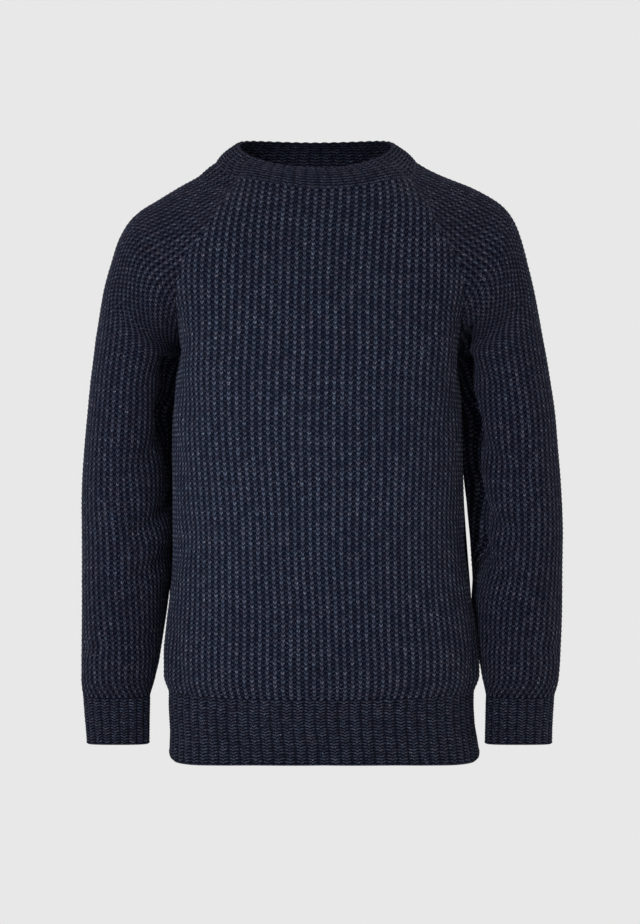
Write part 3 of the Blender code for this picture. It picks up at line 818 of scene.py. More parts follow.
@dataclass(frozen=True)
class FirmRib:
    """Firm rib: courses that lie close, dip on each rib and are made of small V stitches.

    Args:
        dip: How far a course dips on a rib.
        bow: How much further it climbs in the grooves.
        width: Half the width of a course.
        groove_width: Half the width of the groove between two ribs.
        groove_shade_and_depth: How much the groove between two ribs lowers the yarn: painted shade in the
            wool's colour, and depth in the relief.
        ripples: How many small V stitches a rib is wide.
        ripple: How far a course rises and falls within one.
        knot_width: Half the width of the gap between two of them.
        knot_shade_and_depth: How much the gap between two small stitches lowers the yarn: painted shade in
            the wool's colour, and depth in the relief.
    """

    dip: float = 0.34
    bow: float = 1.33
    width: float = 0.34
    groove_width: float = 0.21
    groove_shade_and_depth: float = 0.74
    ripples: int = 3
    ripple: float = 0.36
    knot_width: float = 0.25
    knot_shade_and_depth: float = 0.38

    def across(self, wale: Number) -> Number:
        """How far a place lies from the middle of its rib."""
        return size_of(fraction(wale + 0.5) - 0.5)

    def climb(self, wale: Number) -> Number:
        """How far a course has climbed at a place across."""
        off = self.across(wale)
        return self.dip * 4 * off * (1 - off) * self.bow

    def lift(self, wale: Number) -> Number:
        """The mesh's rows follow the courses."""
        return self.climb(wale)

    def strands(self, wale: Number, course: Number) -> Number:
        """How much yarn lies on top, from 0 between courses to 1 on one."""
        aside = size_of(fraction(wale * self.ripples + 0.5) - 0.5)
        along = fraction(course - self.climb(wale) - self.ripple * (aside - 0.25) + 0.5) - 0.5
        # Painted shade: the grooves between ribs and the gaps between stitches carry less yarn here, so the
        # wool paints them darker as well as sinking them.
        lit = 1 - self.groove_shade_and_depth * bump(0.5 - self.across(wale), self.groove_width)
        return bump(along, self.width) * lit * (1 - self.knot_shade_and_depth * bump(0.5 - aside, self.knot_width))

    def stitch(self, wale: Number, course: Number) -> tuple[Number, Number]:
        """The whole numbers of the stitch that a place belongs to."""
        return whole(wale * self.ripples + 0.5), whole(course - self.climb(wale) + 0.5)


STITCHES = {
    Stitch.HALF_CARDIGAN: HalfCardigan(),
    Stitch.WIDE_CARDIGAN: HalfCardigan(strand_light=0.34, strand_width=0.21, column_light=0.20),
    Stitch.FIRM_RIB: FirmRib(),
    Stitch.NECK_RIB: FirmRib(groove_shade_and_depth=0.55, dip=0.30),
}


class ShaderTree:
    """The node tree of a material or of the world."""

    def __init__(self, owner: bpy.types.Material | bpy.types.World) -> None:
        """Starts the tree anew."""
        owner.use_nodes = True
        self.tree = owner.node_tree
        self.tree.nodes.clear()

    def node(self, kind: str, settings: dict | None = None, sockets: dict | None = None,
             output: int | str | None = 0) -> "Wire | bpy.types.Node":
        """Adds a node.

        Args:
            kind: The node's type.
            settings: Its settings, which are set first.
            sockets: The value or link of each input, by name or number.
            output: The output to give back, or None for the node itself.

        Returns:
            The output, as a number, or the node.
        """
        node = self.tree.nodes.new(kind)
        for name, value in (settings or {}).items():
            setattr(node, name, value)
        for name, value in (sockets or {}).items():
            if isinstance(value, Wire):
                self.tree.links.new(value.socket, node.inputs[name])
            else:
                node.inputs[name].default_value = value
        return node if output is None else Wire(self, node.outputs[output])

    def parts(self, vector: Wire) -> tuple[Wire, Wire]:
        """The first two numbers of a vector."""
        node = self.node("ShaderNodeSeparateXYZ", sockets={0: vector}, output=None)
        return Wire(self, node.outputs[0]), Wire(self, node.outputs[1])

    def vector(self, x: Wire | float, y: Wire | float, z: Wire | float = 0.0) -> Wire:
        """A vector of three numbers."""
        return self.node("ShaderNodeCombineXYZ", sockets={0: x, 1: y, 2: z})

    def noise(self, place: Wire, scale: float, detail: float = 2.0, roughness: float = 0.5) -> Wire:
        """Soft noise between about 0 and 1."""
        sockets = {"Vector": place, "Scale": scale, "Detail": detail, "Roughness": roughness}
        return self.node("ShaderNodeTexNoise", sockets=sockets)

    def mixed(self, factor: Wire | float, a: "Wire | tuple", b: "Wire | tuple", blend: str = "MIX") -> Wire:
        """A mix of two colours."""
        settings = {"data_type": "RGBA", "blend_type": blend, "clamp_factor": True}
        rgba = [c if isinstance(c, Wire) else (*c, 1.0) for c in (a, b)]
        return self.node("ShaderNodeMix", settings, {0: factor, 6: rgba[0], 7: rgba[1]}, output=2)


@dataclass(frozen=True)
class Wool:
    """Marled navy wool, knitted in one of the structures, with painted shade in the holes between its
    strands.

    A scale is how fine a noise is. A ramp is the noise's value at which something starts, and how fast it
    then grows.

    Args:
        name: The material's name.
        stitch: The structure.
        painted_hole_shade: The painted shade deep between the strands, a dark colour that stands in for the
            holes' shadow.
        yarn: The colour of the strands.
        light: The colour of their lightest fibres.
        depth: How high the strands stand in the bump.
        uneven: How much lighter or darker single stitches are.
        stray: How much fuzz lies over the holes.
        dust_scale: The fuzz's scale.
        dust: Its ramp.
        warp: How far the strands wind, in wales and in courses.
        warp_scale: The winding's scale.
        fibre_scale: The fibres' scale.
        spread: The ramp of the fibres that show.
        fleck: The ramp of the lightest ones.
        body: A strand's share of colour without fibres, and what the fibres add.
        fuzz_fineness: How much finer the fuzz in the bump is than the fibres.
        heights: How much of the bump strands, fibres and fuzz make.
        patch_scale: The scale of the dye's patches.
        patch: Their ramp.
        cool: The tint of the cooler patches.
        warm: The tint of the warmer ones.
        sheen: The wool's sheen.
        sheen_roughness: How widely it spreads.
        sheen_tint: Its tint.
        roughness: The wool's roughness where it has no fibres.
        smoothing: How much smoother the fibres are.
        gloss: The wool's specular level.
    """

    name: str
    stitch: Stitch
    painted_hole_shade: Point
    yarn: Point
    light: Point
    depth: float
    uneven: float
    stray: float
    dust_scale: float = 1100.0
    dust: tuple[float, float] = (0.5, 5.0)
    warp: tuple[float, float] = (0.27, 0.38)
    warp_scale: float = 280.0
    fibre_scale: float = 820.0
    spread: tuple[float, float] = (0.32, 2.8)
    fleck: tuple[float, float] = (0.57, 6.0)
    body: tuple[float, float] = (0.16, 1.7)
    fuzz_fineness: float = 1.9
    heights: tuple[float, float, float] = (0.8, 0.35, 0.15)
    patch_scale: float = 160.0
    patch: tuple[float, float] = (0.35, 3.3)
    cool: Point = (0.90, 1.00, 1.06)
    warm: Point = (1.10, 0.98, 0.97)
    sheen: float = 0.05
    sheen_roughness: float = 0.45
    sheen_tint: Point = (0.62, 0.62, 0.95)
    roughness: float = 0.95
    smoothing: float = 0.1
    gloss: float = 0.04

    def material(self) -> bpy.types.Material:
        """Makes the material.

        Returns:
            The new material, which reads the piece's UV map as wales and courses.
        """
        made = bpy.data.materials.new(self.name)
        tree = ShaderTree(made)
        places = tree.node("ShaderNodeTexCoord", output=None)
        solid = Wire(tree, places.outputs["Object"])
        knit = Wire(tree, places.outputs["UV"])
        wale, course = tree.parts(knit)
        winding = {"Vector": solid, "Scale": self.warp_scale, "Detail": 1.0}
        aside, ahead = tree.parts(tree.node("ShaderNodeTexNoise", sockets=winding, output="Color"))
        wale = wale + (aside - 0.5) * self.warp[0]
        course = course + (ahead - 0.5) * self.warp[1]
        pattern = STITCHES[self.stitch]
        strands = pattern.strands(wale, course)
        chance = tree.node(
            "ShaderNodeTexWhiteNoise", {"noise_dimensions": "2D"},
            {"Vector": tree.vector(*pattern.stitch(wale, course))},
        )
        fibres = tree.noise(solid, self.fibre_scale, 3.0, 0.65)
        plain, fluffy = self.body
        weave = strands * (1 - self.uneven / 2 + self.uneven * chance)
        weave = weave * (plain + fluffy * ramp(fibres, *self.spread))
        patches = tree.noise(solid, self.patch_scale, 1.0)
        dust = ramp(tree.noise(solid, self.dust_scale, 1.0, 0.6), *self.dust)
        # Painted shade: where less yarn lies on top, the colour falls toward the dark painted shade of the
        # holes, and the fuzz lifts it back a little.
        navy = tree.mixed(clipped(weave + self.stray * dust), self.painted_hole_shade, self.yarn)
        marl = tree.mixed(ramp(fibres, *self.fleck) * weave * chance, navy, self.light)
        tint = tree.mixed(ramp(patches, *self.patch), self.cool, self.warm)
        colour = tree.mixed(1.0, marl, tint, "MULTIPLY")
        fuzz = tree.noise(solid, self.fibre_scale * self.fuzz_fineness, 2.0, 0.7)
        height = strands * self.heights[0] + fibres * self.heights[1] + fuzz * self.heights[2]
        bump_sockets = {"Strength": 1.0, "Distance": self.depth, "Height": height}
        shader = tree.node("ShaderNodeBsdfPrincipled", output=None, sockets={
            "Base Color": colour,
            "Roughness": self.roughness - self.smoothing * fibres,
            "Normal": tree.node("ShaderNodeBump", sockets=bump_sockets),
            "Sheen Weight": self.sheen,
            "Sheen Roughness": self.sheen_roughness,
            "Sheen Tint": (*self.sheen_tint, 1.0),
            "Specular IOR Level": self.gloss,
        })
        tree.node("ShaderNodeOutputMaterial", sockets={"Surface": Wire(tree, shader.outputs[0])}, output=None)
        return made


def crest_of(wales: np.ndarray) -> np.ndarray:
    """How near places lie to the crest of their wale, from 0 in the groove to 1."""
    return 0.5 + 0.5 * np.cos(2 * math.pi * wales)


@dataclass
class Layer:
    """One face of a shell, in rows by columns.

    Args:
        points: Its points.
        wales: The wale of each.
        courses: The course of each.
    """

    points: np.ndarray
    wales: np.ndarray
    courses: np.ndarray


@dataclass(frozen=True)
class Knitting:
    """How a piece is knitted: its gauge, its relief and how fine its mesh is.

    Args:
        stitch: The structure.
        course: How far apart the courses lie on the piece's middle line.
        wale_relief: How deep the groove between two wales is.
        strand_relief: How deep the furrow between two strands is.
        columns: Mesh columns for each wale outside.
        rows: Mesh rows for each course outside.
        inside_columns: Mesh columns for each wale inside.
        inside_rows: Mesh rows for each course inside.
        uneven: How much higher or lower single stitches lie.
        wander: How far the wales stray to the side, as a share of one.
        waves: The waves in which they do: each one's share, its pace along and across, and its shift.
        groove_power: How narrow the groove between two wales is.
        furrow_shares: How much of the furrows is left in the groove, and how much more on the crest.
    """

    stitch: Stitch
    course: Table
    wale_relief: float
    strand_relief: float
    columns: int = 4
    rows: int = 4
    inside_columns: int = 2
    inside_rows: float = 0.5
    uneven: float = 0.22
    wander: float = 0.10
    waves: tuple[tuple[float, float, float, float], ...] = ((0.6, 0.105, 0.31, 1.0), (0.4, 0.27, -0.17, 2.1))
    groove_power: float = 1.3
    furrow_shares: tuple[float, float] = (0.45, 0.55)


@dataclass
class KnitPiece:
    """One knitted piece of the sweater, as a closed shell on its solid's form.

    Args:
        node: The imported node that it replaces.
        surface: The form that it lies on.
        knitting: How it is knitted.
        levels: Its lower and upper level, in the order in which courses are counted.
        counts: Gives the wales in each half at a level.
        edges: How it ends at the first level, at the last level and at the sides.
        limits: The lowest and highest level of its part of the form.
        mirrored: True for a piece of the wearer's right.
        seed: What its stitches' chances and its wales' waves start from.
        scallop: How far the grooves between ribs cut into the free edge.
        scallop_reach: How far they reach up from it.
        tuck: How far the sewn end reaches under its neighbour.
        seam_groove: How deep a sewn edge lies.
        seam_width: How far in it starts to sink.
        side_reach: The share of a mesh column over which points snap to the side.
    """

    node: str
    surface: Surface
    knitting: Knitting
    levels: tuple[float, float]
    counts: Callable[[float], tuple[float, float]]
    edges: tuple[Edge, Edge, Edge]
    limits: tuple[float, float]
    mirrored: bool = False
    seed: int = 0
    scallop: float = 0.0
    scallop_reach: float = 0.006
    tuck: float = 0.0
    seam_groove: float = 0.0004
    seam_width: float = 0.0018
    side_reach: float = 0.35

    @cached_property
    def ladder(self) -> tuple[np.ndarray, np.ndarray]:
        """Levels and the courses at them, from the length of the middle line and the gauge there."""
        levels = np.linspace(*self.levels, LADDER_POINTS)
        line = np.array([self.surface.row(level, np.zeros(1))[0] for level in levels])
        steps = np.linalg.norm(np.diff(line, axis=0), axis=1)
        gauge = self.knitting.course.read("course", (levels[1:] + levels[:-1]) / 2)
        return levels, np.concatenate([[0], np.cumsum(steps / gauge)])

    @cached_property
    def course_count(self) -> int:
        """How many courses the piece has."""
        return round(self.ladder[1][-1])

    @cached_property
    def wale_count(self) -> int:
        """How many wales each half has at its widest, rounded up."""
        return math.ceil(max(max(self.counts(level)) for level in self.ladder[0][::COARSE_STEP]))

    def length_from(self, level: float) -> np.ndarray:
        """How far a level lies from the piece's first and last level, on the middle line."""
        levels, courses = self.ladder
        rising = 1 if levels[0] < levels[-1] else -1
        at = np.interp(rising * level, rising * levels, courses)
        gauge = float(self.knitting.course.read("course", level))
        return np.array([at, courses[-1] - at]) * gauge

    def wander(self, courses: np.ndarray, wales: np.ndarray) -> np.ndarray:
        """How far the wales stray to the side, as hand-fed wool does."""
        return self.knitting.wander * sum(
            share * np.sin(along * courses + across * wales + shift * self.seed)
            for share, along, across, shift in self.knitting.waves
        )

    def laid(self, course: float, level: float, numbers: np.ndarray, columns: int) -> tuple[np.ndarray, ...]:
        """Lays out one row of the shell.

        Args:
            course: The row's course.
            level: Its level.
            numbers: The wales of its points, as they are before they stray.
            columns: Mesh columns for each wale.

        Returns:
            The points, their normals, their wales, how far creases sink them and how far they lie from the
            side.
        """
        surface = self.surface
        limits = np.where(numbers < 0, *self.counts(level))
        strayed = numbers + self.wander(course, numbers) * (self.edges[2] is not Edge.JOINED)
        x = np.clip(strayed / limits, -1, 1)
        near = limits - np.abs(strayed) < self.side_reach / columns
        x[near] = np.sign(numbers[near])
        shares = surface.share(level, x)
        lengths = np.where(numbers < 0, *surface.half_lengths(level))
        return (
            surface.row(level, shares),
            surface.normals(level, self.limits, shares),
            np.clip(numbers, -limits, limits),
            surface.sunk(level, shares),
            (1 - np.abs(x)) * lengths,
        )

    def room(self, courses: np.ndarray, margin: np.ndarray, rows: int) -> np.ndarray:
        """How much of their climb along the V arms the outer face's points have room for.

        Args:
            courses: Each point's course.
            margin: How far it lies from the side.
            rows: Mesh rows for each course.

        Returns:
            A share for each point, which is 0 where a row would climb past an edge.
        """
        room = clipped(np.minimum(courses, self.course_count - courses))
        if self.edges[2] is Edge.SEWN:
            inside = margin > 0
            for step in range(1, rows):
                inside[:-step] &= inside[step:]
            room = room * inside * clipped(margin / self.seam_width)
        return room

    def layer(self, columns: int, rows: float, outside: bool) -> Layer:
        """Lays out the outer or inner face of the shell.

        Args:
            columns: Mesh columns for each wale.
            rows: Mesh rows for each course.
            outside: True for the outer face.

        Returns:
            The face's points and their places.
        """
        pattern = STITCHES[self.knitting.stitch]
        numbers = np.arange(-self.wale_count * columns, self.wale_count * columns + 1) / columns
        levels, ladder = self.ladder
        courses = np.linspace(0, self.course_count, round(self.course_count * rows) + 1)
        at_level = np.interp(courses * ladder[-1] / self.course_count, ladder, levels)
        made = [self.laid(*place, numbers, columns) for place in zip(courses, at_level)]
        points, normals, wales, sunk, margin = map(np.array, zip(*made))
        ends = np.array([self.length_from(level) for level in at_level])
        low, high = (np.repeat(ends[:, end:end + 1], len(numbers), axis=1) for end in (0, 1))
        courses = np.repeat(courses[:, None], len(numbers), axis=1)
        if outside:
            shift = pattern.lift(wales) * self.room(courses, margin, rows)
            points, normals, sunk, margin, low, high = (
                self.shifted(values, shift * rows) for values in (points, normals, sunk, margin, low, high)
            )
            courses = courses + shift
        depth = self.relief(pattern, wales, courses, outside)
        depth = depth + self.edge_depth(low, high, margin, depth, outside)
        if self.edges[2] is Edge.JOINED:
            depth[:, -1] = depth[:, 0]
        points = points - (sunk + depth)[:, :, None] * normals
        self.finish_ends(points, wales, high)
        return Layer(CUT.posed(points, self.mirrored, self.surface.part), wales, courses)

    def finish_ends(self, points: np.ndarray, wales: np.ndarray, high: np.ndarray) -> None:
        """Scallops the free end of a face between its ribs, and tucks its sewn ends in.

        Args:
            points: The face's points, which it moves.
            wales: Their wales.
            high: How far they lie from the last level.
        """
        if self.scallop:
            points[:, :, 2] += self.scallop * (crest_of(wales) - 1) * np.exp(-high / self.scallop_reach)
        for edge, end, near in ((self.edges[0], 0, 1), (self.edges[1], -1, -2)):
            if edge is Edge.SEWN and self.tuck:
                way = points[end] - points[near]
                points[end] += self.tuck * way / np.linalg.norm(way, axis=1)[:, None]

    @staticmethod
    def shifted(values: np.ndarray, rows: np.ndarray) -> np.ndarray:
        """Reads values between rows of a layer.

        Args:
            values: An array of rows by columns, and maybe of three numbers each.
            rows: How many rows further up to read, at each place.

        Returns:
            The values there.
        """
        last = len(values) - 1
        at = np.clip(np.arange(len(values))[:, None] + rows, 0, last)
        low = np.minimum(at.astype(int), last - 1)
        part = at - low
        if values.ndim == 3:
            low, part = low[:, :, None], part[:, :, None]
        a, b = np.take_along_axis(values, low, 0), np.take_along_axis(values, low + 1, 0)
        return a + part * (b - a)

    def relief(self, pattern: HalfCardigan | FirmRib, wales: np.ndarray, courses: np.ndarray,
               outside: bool) -> np.ndarray:
        """How far the stitches sink the cloth below its crests.

        Args:
            pattern: The structure.
            wales: Each point's wale.
            courses: Each point's course.
            outside: True for the outer face.

        Returns:
            The depth at each point, from the crests' surface.
        """
        knitting = self.knitting
        crest = crest_of(wales)
        if not outside:
            return CUT.wall - 0.5 * knitting.wale_relief * (1 - crest)
        chance = np.random.default_rng(self.seed)
        stitch_wale, stitch_course = pattern.stitch(wales, courses)
        spare = 2
        size = (self.course_count + 2 * spare, 4 * (self.wale_count + spare))
        luck = chance.uniform(-1, 1, size)
        picked = luck[np.clip(stitch_course.astype(int) + spare, 0, size[0] - 1),
                      np.clip(stitch_wale.astype(int) + size[1] // 2, 0, size[1] - 1)]
        strands = pattern.strands(wales, courses)
        groove = knitting.wale_relief * (1 - crest) ** knitting.groove_power
        furrow = knitting.strand_relief * (1 - strands * (1 + knitting.uneven * picked))
        low, more = knitting.furrow_shares
        return groove + furrow * (low + more * crest)

    def edge_depth(self, low: np.ndarray, high: np.ndarray, margin: np.ndarray, depth: np.ndarray,
                   outside: bool) -> np.ndarray:
        """How far the shell's edges sink it further: rounded where free, and drawn in where sewn.

        Args:
            low: How far each point lies from the first level.
            high: How far it lies from the last level.
            margin: How far it lies from the side.
            depth: How far the stitches sink it.
            outside: True for the outer face.

        Returns:
            The further depth at each point, which is below nought where the inner face comes out.
        """
        half = CUT.wall / 2
        total = np.zeros_like(depth)
        for edge, away in zip(self.edges, (low, high, margin)):
            if edge is Edge.FREE:
                inward = half - np.sqrt(np.clip(half**2 - np.clip(half - away, 0, half) ** 2, 0, None))
                goal = inward if outside else CUT.wall - inward
                total += np.where(away < half, goal - depth - total, 0)
            elif edge is Edge.SEWN:
                fade = np.exp(-((away / self.seam_width) ** 2))
                goal = self.seam_groove if outside else CUT.wall
                total += fade * (goal - depth - total)
        return total

    def grid(self, layer: Layer, outside: bool) -> bpy.types.Mesh:
        """Shapes a grid into one face of the shell.

        Args:
            layer: The face's points and places.
            outside: True for the outer face.

        Returns:
            A mesh with the places in its UV map.
        """
        rows, columns = layer.wales.shape
        bm = bmesh.new()
        bm.loops.layers.uv.new("UVMap")
        bmesh.ops.create_grid(bm, x_segments=columns - 1, y_segments=rows - 1, size=0.5)
        mesh = bpy.data.meshes.new(self.node)
        bm.to_mesh(mesh)
        bm.free()
        flat = np.empty(len(mesh.vertices) * 3)
        mesh.vertices.foreach_get("co", flat)
        flat = flat.reshape(-1, 3) + 0.5
        row = np.rint(flat[:, 1] * (rows - 1)).astype(int)
        column = np.rint(flat[:, 0] * (columns - 1)).astype(int)
        mesh.vertices.foreach_set("co", layer.points[row, column].ravel())
        corner = np.empty(len(mesh.loops), int)
        mesh.loops.foreach_get("vertex_index", corner)
        places = np.stack([layer.wales, layer.courses], axis=-1)[row, column][corner]
        mesh.uv_layers[0].uv.foreach_set("vector", places.ravel())
        return mesh

    def build(self) -> bpy.types.Object:
        """Makes the piece's closed shell.

        Returns:
            The new object, in place.
        """
        knitting = self.knitting
        outer = self.layer(knitting.columns, knitting.rows, True)
        inner = self.layer(knitting.inside_columns, knitting.inside_rows, False)
        bm = bmesh.new()
        sides = []
        for layer, outside in ((outer, True), (inner, False)):
            mesh = self.grid(layer, outside)
            before = set(bm.verts)
            bm.from_mesh(mesh)
            bpy.data.meshes.remove(mesh)
            own = [v for v in bm.verts if v not in before]
            if not outside:
                bmesh.ops.reverse_faces(bm, faces=list({f for v in own for f in v.link_faces}))
            bmesh.ops.remove_doubles(bm, verts=own, dist=WELD)
            own = [v for v in bm.verts if v not in before]
            sides.append([e for v in own for e in v.link_edges if e.is_boundary])
        self.close(bm, *(list(dict.fromkeys(edges)) for edges in sides))
        if bm.calc_volume(signed=True) < 0:
            bmesh.ops.reverse_faces(bm, faces=bm.faces)
        mesh = bpy.data.meshes.new(f"knit_{self.node}")
        bm.to_mesh(mesh)
        bm.free()
        mesh.shade_smooth()
        piece = bpy.data.objects.new(f"knit_{self.node}", mesh)
        bpy.context.scene.collection.objects.link(piece)
        self.measure()
        return piece

    @staticmethod
    def close(bm: bmesh.types.BMesh, outer: list, inner: list) -> None:
        """Bridges the outer face's borders to the inner face's.

        Args:
            bm: The mesh that holds both faces.
            outer: The outer face's border edges.
            inner: The inner face's border edges.
        """
        def loops(edges: list) -> list[list]:
            """Sorts border edges into loops, the highest first."""
            left, found = set(edges), []
            while left:
                todo, loop = [left.pop()], []
                while todo:
                    edge = todo.pop()
                    loop.append(edge)
                    near = {e for v in edge.verts for e in v.link_edges if e in left}
                    left -= near
                    todo += near
                found.append(loop)
            return sorted(found, key=lambda loop: -sum(e.verts[0].co.z for e in loop) / len(loop))

        for a, b in zip(loops(outer), loops(inner)):
            bmesh.ops.bridge_loops(bm, edges=a + b)

    def measure(self) -> None:
        """Takes the flat cut of what shows: its width, its length and its area."""
        levels = self.ladder[0]
        width = max(sum(self.surface.half_lengths(level)) for level in levels[::COARSE_STEP])
        line = np.array([self.surface.row(level, np.zeros(1))[0] for level in levels])
        length = float(np.linalg.norm(np.diff(line, axis=0), axis=1).sum())
        spots = np.linspace(-1, 1, AREA_POINTS)
        rows = np.array([self.surface.row(level, spots) for level in levels[::AREA_STEP]])
        across, along = rows[:-1, 1:] - rows[:-1, :-1], rows[1:, :-1] - rows[:-1, :-1]
        self.area = float(np.linalg.norm(np.cross(across, along), axis=2).sum())
        self.flat = (width, max(length, AREA_ROOM * self.area / width))

    def dress(self, piece: bpy.types.Object, material: bpy.types.Material, slot: str) -> None:
        """Gives the piece its wool, hangs it on the root body in place of its imported part, and logs its
        sizes.

        Args:
            piece: The piece's object.
            material: Its wool.
            slot: The name of a material slot, which is not used.
        """
        piece.data.materials.append(material)
        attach(piece, "root")
        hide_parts(self.node)
        piece.data.calc_loop_triangles()
        triangles = len(piece.data.loop_triangles)
        log.info("%s: %d courses, %d wales, %d triangles, flat %.3f x %.3f m, area %.4f m2", piece.name,
                 self.course_count, 2 * self.wale_count, triangles, *self.flat, self.area)


def even_gauge(first: float, last: float, course: float) -> Table:
    """A gauge that is the same from a first level to a last."""
    return Table("level course", ((first, course), (last, course)))


@dataclass
class Body:
    """The front and back panels with their hem ribs.

    Args:
        wales: The wales in each half of a panel, at the underarm.
        hem_ribs: The ribs in each half of a hem.
        hem_tuck: How far a hem reaches under its panel.
        panel: How the panels are knitted.
        hem: How the hems are knitted.
        front_creases: The front's creases.
        back_creases: The back's.
    """

    wales: int = 28
    hem_ribs: int = 18
    hem_tuck: float = 0.0008
    panel: Knitting = Knitting(
        Stitch.HALF_CARDIGAN,
        Table("level course", ((0.0, 0.0049), (0.35, 0.0053), (0.8, 0.0055), (2.0, 0.0055))),
        wale_relief=0.0016, strand_relief=0.0006,
    )
    hem: Knitting = Knitting(
        Stitch.FIRM_RIB, even_gauge(-1.0, 0.0, 0.0033), wale_relief=0.0021, strand_relief=0.0005,
        columns=6, rows=3, wander=0.06,
    )
    front_creases: tuple[Crease, ...] = (
        Crease((1.00, -0.95), (0.83, -0.62), 0.022, 0.0034),
        Crease((0.86, -0.93), (0.66, -0.72), 0.018, 0.0024),
        Crease((0.97, 0.94), (0.76, 0.58), 0.024, 0.0038),
        Crease((0.78, 0.92), (0.62, 0.76), 0.016, 0.0020),
        Crease((1.22, -0.78), (1.04, -0.55), 0.026, -0.0022),
        Crease((1.18, 0.80), (1.02, 0.60), 0.024, -0.0026),
        Crease((0.03, -0.70), (0.17, -0.78), 0.015, 0.0026),
        Crease((0.04, -0.28), (0.13, -0.24), 0.017, 0.0018),
        Crease((0.03, 0.34), (0.19, 0.29), 0.016, 0.0024),
        Crease((0.04, 0.78), (0.14, 0.84), 0.014, 0.0030),
        Crease((0.34, -0.97), (0.46, -0.66), 0.020, 0.0024),
        Crease((0.42, 0.97), (0.52, 0.72), 0.018, 0.0020),
    )
    back_creases: tuple[Crease, ...] = (
        Crease((1.02, -0.94), (0.80, -0.52), 0.024, 0.0044),
        Crease((0.84, -0.92), (0.62, -0.66), 0.019, 0.0030),
        Crease((0.99, 0.93), (0.74, 0.55), 0.023, 0.0040),
        Crease((0.70, 0.95), (0.56, 0.60), 0.020, 0.0034),
        Crease((1.46, -0.40), (1.20, -0.16), 0.028, 0.0026),
        Crease((1.40, 0.46), (1.12, 0.20), 0.026, 0.0022),
        Crease((1.28, -0.06), (0.66, 0.04), 0.034, 0.0030),
        Crease((0.52, -0.96), (0.40, -0.30), 0.022, 0.0036),
        Crease((0.33, 0.96), (0.45, 0.24), 0.021, 0.0032),
        Crease((0.24, -0.60), (0.28, 0.08), 0.020, 0.0026),
        Crease((0.03, -0.52), (0.15, -0.46), 0.016, 0.0028),
        Crease((0.03, 0.18), (0.12, 0.22), 0.015, 0.0020),
        Crease((0.04, 0.66), (0.20, 0.60), 0.017, 0.0030),
    )

    def pieces(self) -> list[tuple[KnitPiece, str]]:
        """Lists the body's pieces, each with its material slot."""
        made = []
        for number, (facing, side, creases) in enumerate((
            (Facing.FRONT, "front", self.front_creases), (Facing.BACK, "back", self.back_creases),
        )):
            surface = TorsoSurface(facing, creases)
            widest = surface.half_lengths(1)[0]

            def counts(level: float, surface: TorsoSurface = surface,
                       widest: float = widest) -> tuple[float, float]:
                """Wales in each half: fewer above the underarm, where the panel narrows."""
                return (self.wales * surface.half_lengths(max(level, 1))[0] / widest,) * 2

            made.append((KnitPiece(
                side, surface, self.panel, (0.0, 2.0), counts, SEWN_ALL_ROUND, (0, 2), seed=number + 1,
            ), "half_cardigan_knit"))
            made.append((KnitPiece(
                f"hem_rib_{side}", surface, self.hem, (-1.0, 0.0), lambda level: (self.hem_ribs,) * 2,
                (Edge.FREE, Edge.SEWN, Edge.SEWN), (-1, 0), seed=number + 3, tuck=self.hem_tuck,
            ), "rib_knit"))
        return made


